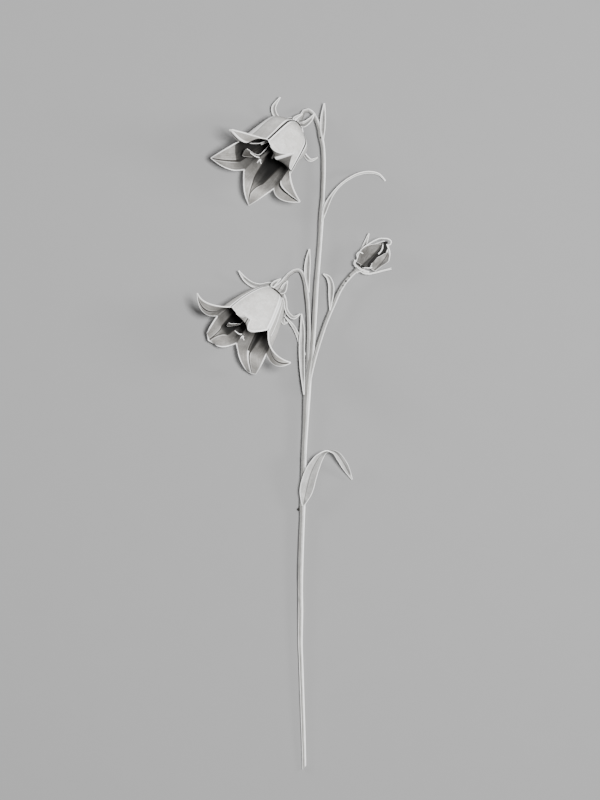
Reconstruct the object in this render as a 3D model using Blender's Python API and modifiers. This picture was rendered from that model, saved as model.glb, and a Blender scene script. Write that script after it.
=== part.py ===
"""A cut bellflower stem lying on a flat surface: two open bells, one bud and its leaves.

The origin is on the surface, under the middle of the whole stem. +Y runs up the stem, +X to
the side that the bud is on, and +Z up. Lengths here are in millimetres, and MM makes them metres.
"""
import math
from typing import NamedTuple

import bmesh
import bpy
from mathutils import Matrix, Vector

MM = 0.001

# Thicknesses, and the clearance between pieces that meet.
SEAT_GAP = 0.3
PETAL_THICK = 0.65
LEAF_THICK = 0.75
SEPAL_THICK = 0.7

# The stem's cross-section has raised ribs with a groove between each two.
RIBS = 5
GROOVE = 0.8

# Main stem from the cut end to the neck of the upper bell: x, y, z and radius.
STEM = [
    (5.4, -188.0, 1.05, 1.1), (5.0, -171.0, 1.5, 1.2), (4.6, -158.0, 1.8, 1.25), (4.1, -142.0, 2.1, 1.25),
    (3.5, -124.0, 2.3, 1.25), (3.2, -114.0, 2.4, 1.3), (3.3, -98.0, 2.6, 1.5), (3.2, -86.0, 2.7, 1.45),
    (3.2, -75.5, 2.8, 1.6), (3.7, -58.5, 3.0, 1.6), (4.2, -46.5, 3.1, 1.55), (4.3, -39.5, 3.2, 1.75),
    (4.7, -25.5, 3.4, 1.6), (5.2, -9.0, 3.6, 1.6), (5.8, 2.0, 3.7, 1.7), (6.3, 13.0, 3.8, 2.0),
    (6.8, 22.5, 3.9, 2.2), (7.6, 31.0, 4.0, 1.9), (9.3, 42.5, 4.0, 1.45), (10.3, 54.5, 4.0, 1.4),
    (11.2, 68.5, 4.0, 1.4), (12.0, 82.0, 4.0, 1.4), (13.2, 96.5, 4.0, 1.3), (14.1, 108.5, 4.0, 1.3),
    (14.6, 118.5, 4.0, 1.5), (15.3, 128.5, 4.0, 1.2), (15.8, 139.5, 4.1, 1.2), (15.9, 149.5, 4.2, 1.25),
    (15.5, 157.0, 4.3, 1.25), (14.5, 162.2, 4.4, 1.4), (13.3, 168.0, 4.4, 1.15), (11.8, 172.6, 4.3, 1.1),
    (10.0, 175.9, 4.2, 1.05), (7.7, 177.5, 4.2, 1.1),
]
LOWER_BRANCH = [
    (6.6, 20.5, 3.7, 1.1), (7.0, 28.0, 3.6, 1.3), (7.4, 40.5, 3.5, 1.3), (7.7, 56.5, 3.4, 1.25),
    (7.4, 68.5, 3.4, 1.2), (6.5, 78.0, 3.4, 1.3), (5.8, 83.0, 3.3, 1.2), (4.2, 87.6, 3.2, 1.1),
    (2.3, 89.6, 3.0, 1.1), (-0.4, 89.2, 2.7, 1.15),
]
BUD_BRANCH = [
    (7.2, 21.5, 3.9, 1.1), (8.4, 30.5, 4.0, 1.25), (10.8, 41.0, 4.2, 1.3), (13.8, 51.0, 4.4, 1.25),
    (17.2, 61.0, 4.6, 1.25), (21.0, 70.0, 4.9, 1.25), (24.6, 78.0, 5.2, 1.25), (27.6, 83.0, 5.5, 1.2),
]
STEM_CUT = (5.33, -183.72, 1.1)
CUT_FACING = (0.745, -0.667, 0)
LEAF_SCAR = (2.6, -41.5, 3.2)
LEAF_SCAR_SIZE = 0.9


class Head:
    """A flower's own axes: its base, its axis seen from above, and the axis's rise at base and mouth."""

    def __init__(self, base, heading, rise_base, rise_mouth, length):
        self.base = Vector(base)
        self.heading = Vector((math.cos(math.radians(heading)), math.sin(math.radians(heading)), 0))
        self.across = Vector((-self.heading.y, self.heading.x, 0))
        self.rise_base = math.radians(rise_base)
        self.rise_mouth = math.radians(rise_mouth)
        self.length = length

    def rise(self, along):
        share = min(max(along / self.length, 0), 1)
        return self.rise_base + (self.rise_mouth - self.rise_base) * share

    def axis(self, along):
        rise = self.rise(along)
        return self.heading * math.cos(rise) + Vector((0, 0, math.sin(rise)))

    def top(self, along):
        rise = self.rise(along)
        return self.heading * -math.sin(rise) + Vector((0, 0, math.cos(rise)))

    def centre(self, along):
        """The point on the axis at a distance from the base; the axis bends as an arc."""
        bent = min(max(along, 0), self.length)
        turn = (self.rise_mouth - self.rise_base) / self.length
        end = self.rise_base + turn * bent
        forward = (math.sin(end) - math.sin(self.rise_base)) / turn
        upward = (math.cos(self.rise_base) - math.cos(end)) / turn
        point = self.base + self.heading * forward + Vector((0, 0, upward))
        return point + self.axis(along) * (along - bent)

    def place(self, along, angle, radius, sideways=0):
        """A point by its distance along the axis, its angle from the top and its radius."""
        turn = math.radians(angle)
        outward = self.top(along) * math.cos(turn) + self.across * math.sin(turn)
        around = self.across * math.cos(turn) - self.top(along) * math.sin(turn)
        return self.centre(along) + outward * radius + around * sideways


UPPER_BELL = Head((0.8, 169.1, 7.5), 227.4, 22, 40, 31.4)
LOWER_BELL = Head((-10.7, 76.7, 7.1), 228.2, 20, 36, 29.9)
BUD = Head((36.8, 91.6, 6.6), 44, 4, 8, 20)

# Where each flower's stalk ends: the receptacle's narrow end.
UPPER_NECK = Vector((4.2, 174.8, 5.3))
LOWER_NECK = Vector((-4.6, 85.3, 3.7))
BUD_NECK = Vector((33.4, 88.9, 6.2))

# A corolla's outline from base to the notches between its lobes: distance along, corner radius.
UPPER_PROFILE = [(0, 3.4), (2.4, 7.4), (7.4, 12.6), (14, 14.6), (22, 16.0), (31.4, 17.3)]
LOWER_PROFILE = [(0, 3.8), (1.6, 7.6), (6.0, 11.3), (14, 14.6), (22, 16.9), (29.9, 18.3)]
PANEL_BULGE = 0.11
SHOULDER_RUN = 15.5
NIB = 0.45
SEAM_DEPTH = 0.6
SEAM_WIDTH = 0.6
FOLD_HALF = 0.6
# How far a bell's wall gives where it lies on the surface.
REST_DEPTH = 0.5
TUBE_ROWS = 8
LOBE_ROWS = 8
# A petal's columns on each side: their places from its crease to its margin.
SIDE_STEPS = (0, 0.55, 0.9, 1)


class Seam(NamedTuple):
    """Where two petals meet: its angle at the base, its angle at the mouth, its radius at the mouth."""

    base: float
    mouth: float
    radius: float


UPPER_SEAMS = [
    Seam(-18.5, -17.8, 16.0), Seam(53.5, 64.2, 18.2), Seam(125.5, 127.8, 19.5), Seam(197.5, 194.3, 18.0),
    Seam(269.5, 262.9, 17.1),
]
LOWER_SEAMS = [
    Seam(-46, -56.1, 15.6), Seam(26, 36.0, 19.0), Seam(98, 98.4, 19.5), Seam(170, 170.2, 15.0),
    Seam(242, 244.8, 17.4),
]


class Lobe(NamedTuple):
    """The free end of one petal, between two seams.

    Its points are counted from the middle of the petal's edge at the mouth: past the mouth, outward
    and across. After the tip come the points that the fold and the two margins pass half-way. The
    face between the creases and the crest that it is centred on are shares of the petal's half
    width, at the mouth and deep inside.
    """

    tip: tuple
    fold: tuple
    near: tuple
    far: tuple
    face: tuple = (0.05, 0.05)
    crest: tuple = (0, 0)
    meet: float = 0.62
    blunt: float = 0
    back: float = 0
    shoulder: tuple = (0, 5)
    pleat: float = 0


UPPER_LOBES = [
    Lobe((3.4, 12.0, 0.5), (4.6, 0.2, -0.8), (2.8, 1.6, -4.0), (0.4, 3.0, 5.8)),
    Lobe((1.6, 12.7, -0.2), (4.0, 2.0, -1.0), (3.7, 4.4, -7.1), (4.1, 4.8, 6.4), crest=(0.1, 0.3),
         shoulder=(2.4, 4.5), pleat=2.4),
    Lobe((4.8, 13.7, -0.9), (6.0, 2.9, 0.2), (6.3, 1.3, -7.5), (7.8, 2.8, 3.5), face=(0.27, 0.75),
         crest=(0, 0.12)),
    Lobe((7.8, 12.1, 0.3), (6.6, 3.4, 0.0), (7.4, 2.1, -5.1), (7.1, 2.7, 7.8), crest=(-0.4, -0.9)),
    Lobe((12.2, 12.3, -0.5), (7.0, 1.4, 0.0), (5.8, 4.5, -6.4), (5.4, 5.4, 3.8), blunt=0.9,
         shoulder=(1.7, 11)),
]
LOWER_LOBES = [
    Lobe((4.6, 4.4, 1.3), (4.8, -1.1, 0.7), (3.4, -0.4, -4.9), (7.6, -1.6, 5.0), blunt=2.0),
    Lobe((5.0, 16.0, 0.0), (7.7, 8.4, 0.5), (7.3, 5.9, -5.1), (7.5, 8.9, 4.8)),
    Lobe((3.4, 12.3, -0.8), (3.6, 2.7, -0.3), (3.9, 2.4, -8.9), (5.3, 3.1, 4.4), face=(0.08, 0.35),
         crest=(0.15, 0.6), meet=0.3, blunt=2.6, back=0.9),
    Lobe((5.5, 8.9, -0.4), (1.5, 2.1, 0.4), (5.0, 2.2, -7.1), (4.6, 2.0, 6.9), face=(0.3, 0.6),
         meet=1.0, blunt=3.6, back=2.4),
    Lobe((4.8, 15.0, 0.1), (7.9, 5.8, -0.2), (7.8, 6.0, -3.3), (7.2, 7.6, 4.8)),
]

# Sepals: knots of x, y, z, half width and roll, from inside the receptacle to the tip.
UPPER_SEPALS = [
    [(2.3, 171.0, 6.4, 1.2, 0), (-1.6, 172.9, 4.8, 1.3, 60), (-6.2, 172.3, 3.8, 1.3, 60),
     (-9.9, 174.2, 4.2, 1.3, 30), (-11.4, 179.0, 5.2, 1.2, 0), (-7.8, 184.5, 6.4, 0.3, 0)],
    [(1.6, 171.0, 7.2, 0.7, 0), (-0.2, 172.4, 8.9, 0.7, 0), (1.3, 173.5, 9.4, 0.8, 0),
     (4.4, 175.2, 9.0, 0.3, 0)],
    [(2.4, 170.4, 7.6, 0.9, 0), (4.6, 169.4, 9.6, 1.6, 0), (6.9, 170.5, 9.8, 1.4, 0),
     (9.2, 172.6, 9.4, 1.0, 0), (10.8, 175.2, 8.6, 0.3, 0)],
    [(2.6, 170.5, 6.2, 1.1, 0), (3.7, 165.6, 2.7, 1.2, 40), (4.9, 159.6, 2.4, 1.1, 70),
     (5.4, 154.0, 2.4, 1.1, 60), (8.6, 150.2, 2.8, 0.9, 20), (12.8, 151.6, 3.6, 0.3, 0)],
    [(2.7, 171.0, 5.9, 1.0, 0), (5.0, 170.2, 3.0, 1.2, 0), (7.4, 171.2, 1.9, 1.0, 0),
     (9.8, 173.4, 1.4, 0.3, 0)],
]
LOWER_SEPALS = [
    [(-8.8, 79.2, 5.8, 1.3, 0), (-13.6, 81.8, 4.2, 1.6, 40), (-18.8, 81.0, 3.6, 1.5, 30),
     (-23.4, 82.0, 4.2, 1.4, 10), (-27.4, 85.0, 5.8, 1.1, 0), (-30.6, 89.4, 6.8, 0.3, 0)],
    [(-9.6, 78.8, 7.0, 0.9, 0), (-11.9, 81.0, 9.6, 1.1, 0), (-10.4, 82.8, 10.4, 1.1, 0),
     (-7.4, 84.8, 9.6, 0.3, 0)],
    [(-8.6, 78.9, 7.2, 0.9, 0), (-6.6, 78.2, 10.8, 1.7, 0), (-5.4, 80.6, 11.4, 1.5, 0),
     (-3.8, 83.7, 9.6, 0.3, 0)],
    [(-8.4, 78.6, 6.0, 1.2, 0), (-5.4, 73.8, 5.6, 1.2, -45), (-4.6, 68.6, 6.0, 1.1, -50),
     (-3.0, 65.4, 7.0, 1.0, -30), (-0.2, 63.6, 8.0, 0.9, 0), (3.2, 65.6, 8.6, 0.3, 0)],
    [(-8.6, 78.6, 5.2, 1.2, 0), (-5.8, 74.4, 2.4, 1.2, 0), (-5.9, 67.0, 1.8, 1.1, 0),
     (-6.2, 61.0, 1.8, 0.9, 0), (-3.7, 61.2, 2.4, 0.3, 0)],
]
BUD_SEPALS = [
    [(34.9, 91.4, 4.8, 0.9, 0), (36.6, 95.4, 2.2, 1.1, 0), (37.2, 100.0, 2.0, 1.2, 0),
     (38.7, 103.7, 3.2, 1.1, 0), (40.9, 109.9, 5.0, 0.3, 0)],
    [(34.6, 91.2, 6.6, 0.6, 0), (33.1, 92.8, 8.0, 0.5, 0), (33.2, 95.2, 8.8, 0.35, 0)],
    [(34.9, 90.6, 5.6, 0.8, 0), (39.5, 87.8, 4.6, 0.7, 0), (44.2, 88.3, 4.0, 0.5, 0),
     (49.1, 89.6, 4.0, 0.45, 0), (53.2, 90.6, 4.0, 0.5, 0)],
    [(35.7, 90.0, 6.2, 0.7, 0), (38.2, 88.0, 7.4, 0.5, 0), (40.8, 87.8, 7.8, 0.35, 0)],
    [(35.4, 90.0, 5.8, 0.9, 0), (36.6, 90.0, 2.2, 1.0, 0), (39.0, 91.6, 0.9, 0.35, 0)],
    [(33.3, 92.6, 6.8, 0.4, 0), (35.6, 90.6, 8.8, 0.55, 0), (38.4, 89.2, 8.6, 0.55, 0),
     (41.0, 88.6, 7.2, 0.35, 0)],
]

# Creased sheets of the bud as rows of corners, from its base to its top: left edge, ridge, right edge.
BUD_SHEETS = [
    [
        [(33.7, 94.4, 7.0), (37.2, 92.2, 10.6), (39.8, 91.0, 7.8)],
        [(34.6, 96.8, 7.5), (39, 94.2, 12.2), (41.9, 93.9, 8)],
        [(36.1, 100.4, 8), (42.1, 96.8, 12.8), (44, 96.5, 8.2)],
        [(39.7, 103.1, 8.8), (45.4, 100.5, 12.4), (46.6, 100.2, 9)],
        [(45.2, 103.9, 10.5), (47.8, 103.9, 11.6), (48.8, 104, 10.2)],
    ],
    [
        [(41.5, 90.7, 7), (43.4, 89.4, 8.2), (44.3, 89.1, 6)],
        [(42.4, 93.7, 8.2), (46.1, 92, 10.2), (47.9, 92, 5.5)],
        [(43.5, 95.5, 9.4), (48.5, 94.5, 11), (51.3, 94.2, 5.5)],
        [(47.2, 97.3, 9.8), (50.4, 97.5, 11), (52.1, 95.8, 6.5)],
        [(50.8, 99.4, 10), (51.3, 99.3, 10.4), (51.9, 98.1, 8.6)],
    ],
]
# Narrow curled strips of the bud: x, y, z, half width and roll.
BUD_STRIPS = [
    [
        (37.8, 102.1, 8.4, 0.35, 0), (41.0, 104.1, 9.6, 0.45, 0), (43.8, 105.7, 10.8, 0.45, 0),
        (46.5, 106.8, 11.4, 0.4, 0), (49.0, 106.9, 11.6, 0.4, 0), (51.4, 106.6, 11.4, 0.4, 0),
        (53.0, 105.3, 11.0, 0.4, 0), (52.5, 103.6, 10.6, 0.35, 0), (51.0, 103.2, 10.4, 0.35, 0),
    ],
    [
        (50.5, 103.8, 10.4, 0.35, 0), (51.3, 102.0, 10.8, 0.45, 0), (52.1, 100.0, 10.4, 0.45, 0),
        (52.3, 97.6, 9.0, 0.4, 0), (51.7, 95.4, 7.2, 0.35, 0),
    ],
    [
        (48.4, 103.8, 10.6, 0.35, 0), (48.1, 101.3, 11.2, 0.45, 0), (46.7, 99.1, 11.0, 0.45, 0),
        (44.0, 96.8, 8.6, 0.35, 0),
    ],
    [
        (34.7, 95.8, 7.4, 0.35, 0), (34.3, 98.2, 8.6, 0.4, 0), (35.7, 99.5, 9.6, 0.4, 0),
        (37.8, 98.5, 9.6, 0.35, 0),
    ],
]
BUD_PETALS = [
    (164, [(0.6, 0.9, 1.0), (3.0, 3.2, 2.4), (6.5, 4.5, 3.3), (11.0, 4.7, 3.6), (15.0, 3.8, 2.4),
           (18.5, 2.6, 0.9)]),
    (250, [(0.6, 0.9, 1.0), (3.0, 3.2, 2.4), (6.5, 4.4, 3.0), (11.0, 4.5, 3.2), (15.0, 3.6, 2.2),
           (18.4, 2.4, 0.9)]),
]
# The bud's core: its radius, how much it is flattened, its twist, and how deep its seams are.
BUD_RADIUS = 5.2
BUD_FLAT = 0.3
BUD_TWIST = 28
BUD_SEAM = 0.62

# Inside each open bell: the style's radius and length, its stigma lobes as angle and reach,
# and the stamens that ring its foot.
STYLE_RADIUS = 0.9
UPPER_STYLE = (32.0, -1.2, ((-98, 6.4), (178, 3.2), (125, 2.6)))
LOWER_STYLE = (33.0, 2.5, ((-95, 5.0), (178, 2.6), (118, 2.4)))
COLLAR_RADIUS = 2.1
COLLAR_LENGTH = 1.6
# Long stamens hang down a little towards their ends: angle, then knots of distance along, distance
# out and half width up to the anther.
ANTHER_SINK = 4.0
ANTHERS = {
    "upper_stamens": [
        (268, [(0.8, 1.8, 0.9), (8.0, 3.0, 0.8), (18.0, 3.2, 0.6), (29.0, 3.0, 0.45), (33.0, 5.0, 1.4),
               (35.2, 8.6, 3.1), (35.8, 10.2, 3.4)]),
        (283, [(0.8, 1.8, 0.9), (8.0, 3.8, 0.8), (16.0, 5.2, 0.6), (24.6, 7.2, 0.5), (28.4, 9.4, 0.45),
               (31.0, 11.4, 0.35)]),
    ],
    "lower_stamens": [
        (270, [(0.8, 1.8, 0.9), (8.0, 3.0, 0.8), (18.0, 3.0, 0.6), (27.6, 2.8, 0.45), (31.0, 4.8, 1.1),
               (33.6, 6.8, 1.6), (34.2, 7.8, 1.7)]),
    ],
}
STAMENS = [(0.8, 1.8, 1.2), (6.0, 3.4, 1.3), (12.0, 5.2, 0.7), (15.0, 6.4, 1.1), (20.5, 8.4, 0.4)]

# Leaves: knots of x, y, z, half width and roll about the leaf's own length.
LEAVES = {
    "big_leaf": [
        (4.7, -39.8, 5.9, 0.6, 0), (6.3, -32.0, 6.8, 3.5, 0), (8.8, -22.5, 8.6, 3.7, 8),
        (12.6, -14.6, 10.6, 2.7, 20), (16.8, -10.2, 11.4, 1.5, 60), (20.6, -9.9, 10.8, 1.3, 115),
        (24.0, -12.4, 8.8, 1.9, 150), (28.0, -18.4, 5.2, 1.8, 165), (31.6, -25.2, 2.0, 0.35, 170),
    ],
    "arching_leaf": [
        (15.1, 116.2, 6.3, 0.45, 0), (17.2, 124.2, 6.4, 1.3, 15), (20.6, 130.8, 6.6, 0.9, 40),
        (24.8, 135.9, 6.8, 0.65, 50), (29.6, 139.6, 6.8, 0.65, 50), (35.2, 142.4, 6.2, 0.75, 50),
        (41.2, 143.4, 5.0, 0.75, 50), (46.4, 142.3, 3.6, 0.6, 50), (49.9, 138.8, 2.2, 0.35, 50),
    ],
    "top_bract": [
        (15.7, 161.0, 6.6, 0.35, 0), (15.4, 168.0, 6.7, 1.5, 0), (15.8, 174.6, 6.7, 1.3, 0),
        (16.4, 181.2, 6.6, 0.35, 0),
    ],
    "lower_bract": [
        (7.9, 77.4, 5.4, 0.35, 0), (7.0, 86.6, 5.7, 1.5, 0), (7.3, 94.0, 5.8, 1.5, 0),
        (8.2, 101.3, 5.8, 0.35, 0),
    ],
    "bud_branch_leaf": [
        (19.5, 67.6, 6.9, 0.35, 0), (20.1, 76.2, 7.0, 1.4, 0), (20.1, 81.4, 6.9, 1.5, 0),
        (18.6, 85.6, 6.6, 1.1, 0), (15.8, 87.6, 6.0, 0.35, 0),
    ],
    "side_leaf": [
        (5.0, 21.4, 6.6, 0.35, 0), (4.4, 34.0, 6.2, 1.3, 0), (4.0, 46.0, 5.6, 1.6, 0),
        (4.3, 57.0, 5.6, 1.3, 0), (3.9, 65.8, 5.4, 0.35, 0),
    ],
    "narrow_leaf": [
        (5.4, 43.0, 2.4, 0.9, 0), (3.4, 49.0, 2.4, 1.0, 0), (1.6, 54.4, 2.8, 0.9, 0),
        (-0.9, 59.2, 3.8, 0.8, 0), (-5.1, 64.0, 5.4, 0.35, 0),
    ],
}

# Warm off-white, as for a pale dried flower.
PETAL_COLOUR = (0.62, 0.60, 0.57)
LEAF_COLOUR = (0.56, 0.55, 0.53)
STEM_COLOUR = (0.58, 0.57, 0.55)
STIGMA_COLOUR = (0.72, 0.71, 0.69)


def clear_scene():
    for thing in list(bpy.data.objects):
        bpy.data.objects.remove(thing, do_unlink=True)


def new_collection(name):
    group = bpy.data.collections.new(name)
    bpy.context.scene.collection.children.link(group)
    return group


def new_material(name, colour, roughness):
    material = bpy.data.materials.new(name)
    material.use_nodes = True
    surface = material.node_tree.nodes["Principled BSDF"]
    surface.inputs["Base Color"].default_value = (*colour, 1)
    surface.inputs["Roughness"].default_value = roughness
    surface.inputs["Metallic"].default_value = 0
    return material


def smooth(knots, count):
    """Return count + 1 rows on a smooth curve through the knots."""
    rows = []
    for step in range(count + 1):
        rows.append(point_on(knots, step / count))
    return rows


def point_on(knots, share):
    last = len(knots) - 1
    place = share * last
    start = min(int(place), last - 1)
    four = [knots[max(start - 1, 0)], knots[start], knots[start + 1], knots[min(start + 2, last)]]
    return tuple(through(*values, place - start) for values in zip(*four))


def through(before, start, end, after, share):
    slope = end - before
    bend = 2 * before - 5 * start + 4 * end - after
    twist = 3 * start - before - 3 * end + after
    return 0.5 * (2 * start + (slope + (bend + twist * share) * share) * share)


def ease(low, high, value):
    share = min(max((value - low) / (high - low), 0), 1)
    return share * share * (3 - 2 * share)


def mix(first, second, share):
    return first + (second - first) * share


def mesh_object(name, bm, group):
    data = bpy.data.meshes.new(name)
    bm.to_mesh(data)
    bm.free()
    piece = bpy.data.objects.new(name, data)
    group.objects.link(piece)
    return piece


def applied(piece):
    """Replace a piece's mesh by what its modifiers make of it."""
    evaluated = piece.evaluated_get(bpy.context.evaluated_depsgraph_get())
    mesh = bpy.data.meshes.new_from_object(evaluated)
    piece.modifiers.clear()
    piece.data = mesh
    return piece


def thicken(piece, thickness, offset):
    wall = piece.modifiers.new("thickness", "SOLIDIFY")
    wall.thickness = thickness * MM
    wall.offset = offset
    wall.use_even_offset = False
    return piece


def fuse(main, extras):
    """Join the extras to the main piece as one body."""
    group = new_collection("joined to " + main.name)
    for extra in extras:
        for owner in extra.users_collection:
            owner.objects.unlink(extra)
        group.objects.link(extra)
    union = main.modifiers.new("union", "BOOLEAN")
    union.operation = "UNION"
    union.operand_type = "COLLECTION"
    union.collection = group
    union.solver = "EXACT"
    applied(main)
    for extra in extras:
        bpy.data.objects.remove(extra, do_unlink=True)
    bpy.data.collections.remove(group)
    return main


def ribbed_ring(group):
    """The stem's cross-section at a radius of 1 mm, as a guide for the tubes."""
    data = bpy.data.curves.new("ribbed ring", "CURVE")
    data.dimensions = "2D"
    spline = data.splines.new("POLY")
    spline.use_cyclic_u = True
    corners = RIBS * 2
    spline.points.add(corners - 1)
    for step, point in enumerate(spline.points):
        turn = 2 * math.pi * (step + 0.5) / corners
        radius = MM * (1 if step % 2 else GROOVE)
        point.co = (radius * math.cos(turn), radius * math.sin(turn), 0, 1)
    guide = bpy.data.objects.new("ribbed ring", data)
    guide.hide_render = True
    guide.display_type = "WIRE"
    group.objects.link(guide)
    return guide


def tube(name, path, ring, group):
    """A closed tube along rows of x, y, z and radius, with the ring as its cross-section."""
    data = bpy.data.curves.new(name, "CURVE")
    data.dimensions = "3D"
    data.twist_mode = "Z_UP"
    data.bevel_mode = "OBJECT"
    data.bevel_object = ring
    data.use_fill_caps = True
    spline = data.splines.new("POLY")
    spline.points.add(len(path) - 1)
    for point, (x, y, z, radius) in zip(spline.points, path):
        point.co = (x * MM, y * MM, z * MM, 1)
        point.radius = radius
    curve = bpy.data.objects.new(name, data)
    group.objects.link(curve)
    evaluated = curve.evaluated_get(bpy.context.evaluated_depsgraph_get())
    bm = bmesh.new()
    bm.from_mesh(bpy.data.meshes.new_from_object(evaluated))
    bpy.data.objects.remove(curve, do_unlink=True)
    bmesh.ops.remove_doubles(bm, verts=bm.verts, dist=0.000001)
    bmesh.ops.recalc_face_normals(bm, faces=bm.faces)
    rest_on_surface(bm)
    return mesh_object(name, bm, group)


def rest_on_surface(bm, height=0, soft=0):
    """Flatten what would lie below the surface, or within the soft depth over it."""
    for vertex in bm.verts:
        if vertex.co.z < soft * MM:
            vertex.co.z = 0
        vertex.co.z = max(vertex.co.z, height * MM)


def blade(name, knots, rows, columns, fold, thickness, group):
    """A strap folded along its middle, from knots of x, y, z, half width and roll."""
    stations = smooth(knots, rows)
    spine = []
    for row, (x, y, z, half, roll) in enumerate(stations):
        along, side, face = frame_at(stations, row)
        turn = Matrix.Rotation(math.radians(roll), 3, along)
        spine.append((Vector((x, y, z)), turn @ side, turn @ face, half))
    return strap(name, spine, columns, fold, thickness, group)


def strap(name, spine, columns, fold, thickness, group):
    """A thin wall along rows of centre, side direction, face direction and half width."""
    rows = len(spine) - 1
    bm = bmesh.new()
    bmesh.ops.create_grid(bm, x_segments=columns, y_segments=rows, size=1)
    for vertex in bm.verts:
        share = vertex.co.x
        centre, side, face, half = spine[round((vertex.co.y + 1) / 2 * rows)]
        vertex.co = (centre + side * share * half - face * (1 - abs(share)) * half * fold) * MM
    rest_on_surface(bm, thickness / 2)
    bmesh.ops.triangulate(bm, faces=bm.faces, quad_method="SHORT_EDGE")
    return thicken(mesh_object(name, bm, group), thickness, 0)


def frame_at(stations, row):
    """A strap's direction, its level side direction and its upward face at one station."""
    before = Vector(stations[max(row - 1, 0)][:3])
    after = Vector(stations[min(row + 1, len(stations) - 1)][:3])
    along = (after - before).normalized()
    side = along.cross(Vector((0, 0, 1))).normalized()
    return along, side, side.cross(along)


class Bell(NamedTuple):
    """An open flower: its axes, its outline, its seams and its lobes."""

    head: Head
    profile: list
    seams: list
    lobes: list


UPPER = Bell(UPPER_BELL, UPPER_PROFILE, UPPER_SEAMS, UPPER_LOBES)
LOWER = Bell(LOWER_BELL, LOWER_PROFILE, LOWER_SEAMS, LOWER_LOBES)


def crease_at(lobe, place):
    """How far from its fold a petal's creases lie; place runs from 0 at the base to 2 at the tip."""
    mouth, inside = lobe.face
    if place <= 1:
        return mix(inside, mouth, max(0, place * 2 - 1))
    return mouth * max(0, 1 - (place - 1) / lobe.meet)


def crest_at(lobe, place):
    """Which line of the petal its fold follows, from the deep part out to the mouth."""
    mouth, inside = lobe.crest
    inside = math.copysign(min(abs(inside), 0.5), inside)
    return mix(inside, mouth, max(0, place * 2 - 1))


def petal_share(column, crease):
    """A petal's columns: the fold, the creases, one on each slope, and two close to each margin."""
    side = column - len(SIDE_STEPS)
    if side == 0:
        return 0
    return math.copysign(mix(crease, 1, SIDE_STEPS[abs(side) - 1]), side)


def edge_at(bell, number, along, corner):
    """The middle, half length and outward direction of the line between a petal's two seams."""
    ends = []
    share = min(along / bell.head.length, 1)
    for turn in (number, number + 1):
        seam = bell.seams[turn % 5]
        angle = mix(seam.base, seam.mouth, share) + 360 * (turn // 5)
        radius = corner * mix(1, seam.radius / bell.profile[-1][1], share)
        ends.append(bell.head.place(along, angle, radius))
    half = (ends[1] - ends[0]) / 2
    outward = bell.head.axis(along).cross(half).normalized()
    return (ends[0] + ends[1]) / 2, half, outward


def pleat_at(lobe, share):
    """How much of its pleat a petal has at one column: most at its crest, none at its seams."""
    crest = lobe.crest[0]
    if share < crest:
        return max(0, 1 - (crest - share) / 0.7)
    return (1 - share) / (1 - crest)


def tube_point(bell, number, share, level):
    """A point of a petal below the notches, with the level from 0 at the base to 1 at the mouth."""
    along, corner = point_on(bell.profile, level)
    middle, half, outward = edge_at(bell, number, along, corner)
    lobe = bell.lobes[number]
    height, peak = lobe.shoulder
    shoulder = height * ease(0, peak, along) * (1 - ease(peak, peak + SHOULDER_RUN, along))
    rise = (corner * PANEL_BULGE + shoulder) * (1 - share * share)
    pleat = lobe.pleat * ease(0.5, 1, level) * pleat_at(lobe, share)
    point = middle + half * share + outward * (rise - pleat)
    margin = (1 - abs(share)) * half.length
    groove = SEAM_DEPTH * max(0, 1 - margin / SEAM_WIDTH) * mix(0.5, 1, level) * (1 - ease(0.75, 0.95, level))
    return point + (bell.head.centre(along) - point).normalized() * groove


def halfway(start, middle, end, share):
    """A curve from start to end that passes the middle at half its run."""
    knee = middle * 2 - (start + end) / 2
    return start * (1 - share) ** 2 + knee * 2 * share * (1 - share) + end * share ** 2


def lobe_lines(bell, number):
    """The fold and the two margins of a lobe as start, middle and end points."""
    lobe = bell.lobes[number]
    along, corner = bell.profile[-1]
    middle, half, outward = edge_at(bell, number, along, corner)
    across = half.normalized()
    origin = middle + outward * corner * PANEL_BULGE
    forward = bell.head.axis(along)

    def spot(place):
        return origin + forward * place[0] + outward * place[1] + across * place[2]

    tip = spot(lobe.tip)
    run = (tip - spot(lobe.fold)).normalized()
    end = tip - run * lobe.back
    aside = across * (NIB + lobe.blunt)
    fold = tube_point(bell, number, lobe.crest[0], 1), spot(lobe.fold), tip
    near = tube_point(bell, number, -1, 1), spot(lobe.near), end - aside
    far = tube_point(bell, number, 1, 1), spot(lobe.far), end + aside
    return across, fold, near, far


def facet(lines, lobe, column, reach):
    """A point of the folded lobe: flat between its creases, then straight out to each margin."""
    across, fold, near, far = lines
    middle = halfway(*fold, reach)
    out = halfway(*(near if column < len(SIDE_STEPS) else far), reach) - middle
    level = across * out.dot(across)
    crease = max(crease_at(lobe, 1 + reach), min(FOLD_HALF / out.length, 0.6))
    share = abs(petal_share(column, crease))
    lift = max(0, (share - crease) / (1 - crease))
    return middle + level * share + (out - level) * lift


def petal_point(bell, number, lines, column, row):
    lobe = bell.lobes[number]
    place = row / TUBE_ROWS if row <= TUBE_ROWS else 1 + (row - TUBE_ROWS) / LOBE_ROWS
    level = min(place, 1)
    reach = place - level
    share = petal_share(column, max(crease_at(lobe, level), 0.08))
    seat = mix(crest_at(lobe, level), math.copysign(1, share), abs(share))
    point = tube_point(bell, number, seat, level)
    if reach > 0:
        start = facet(lines, lobe, column, 0)
        point = facet(lines, lobe, column, reach) + (point - start) * (1 - ease(0, 0.35, reach))
    return point


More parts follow.
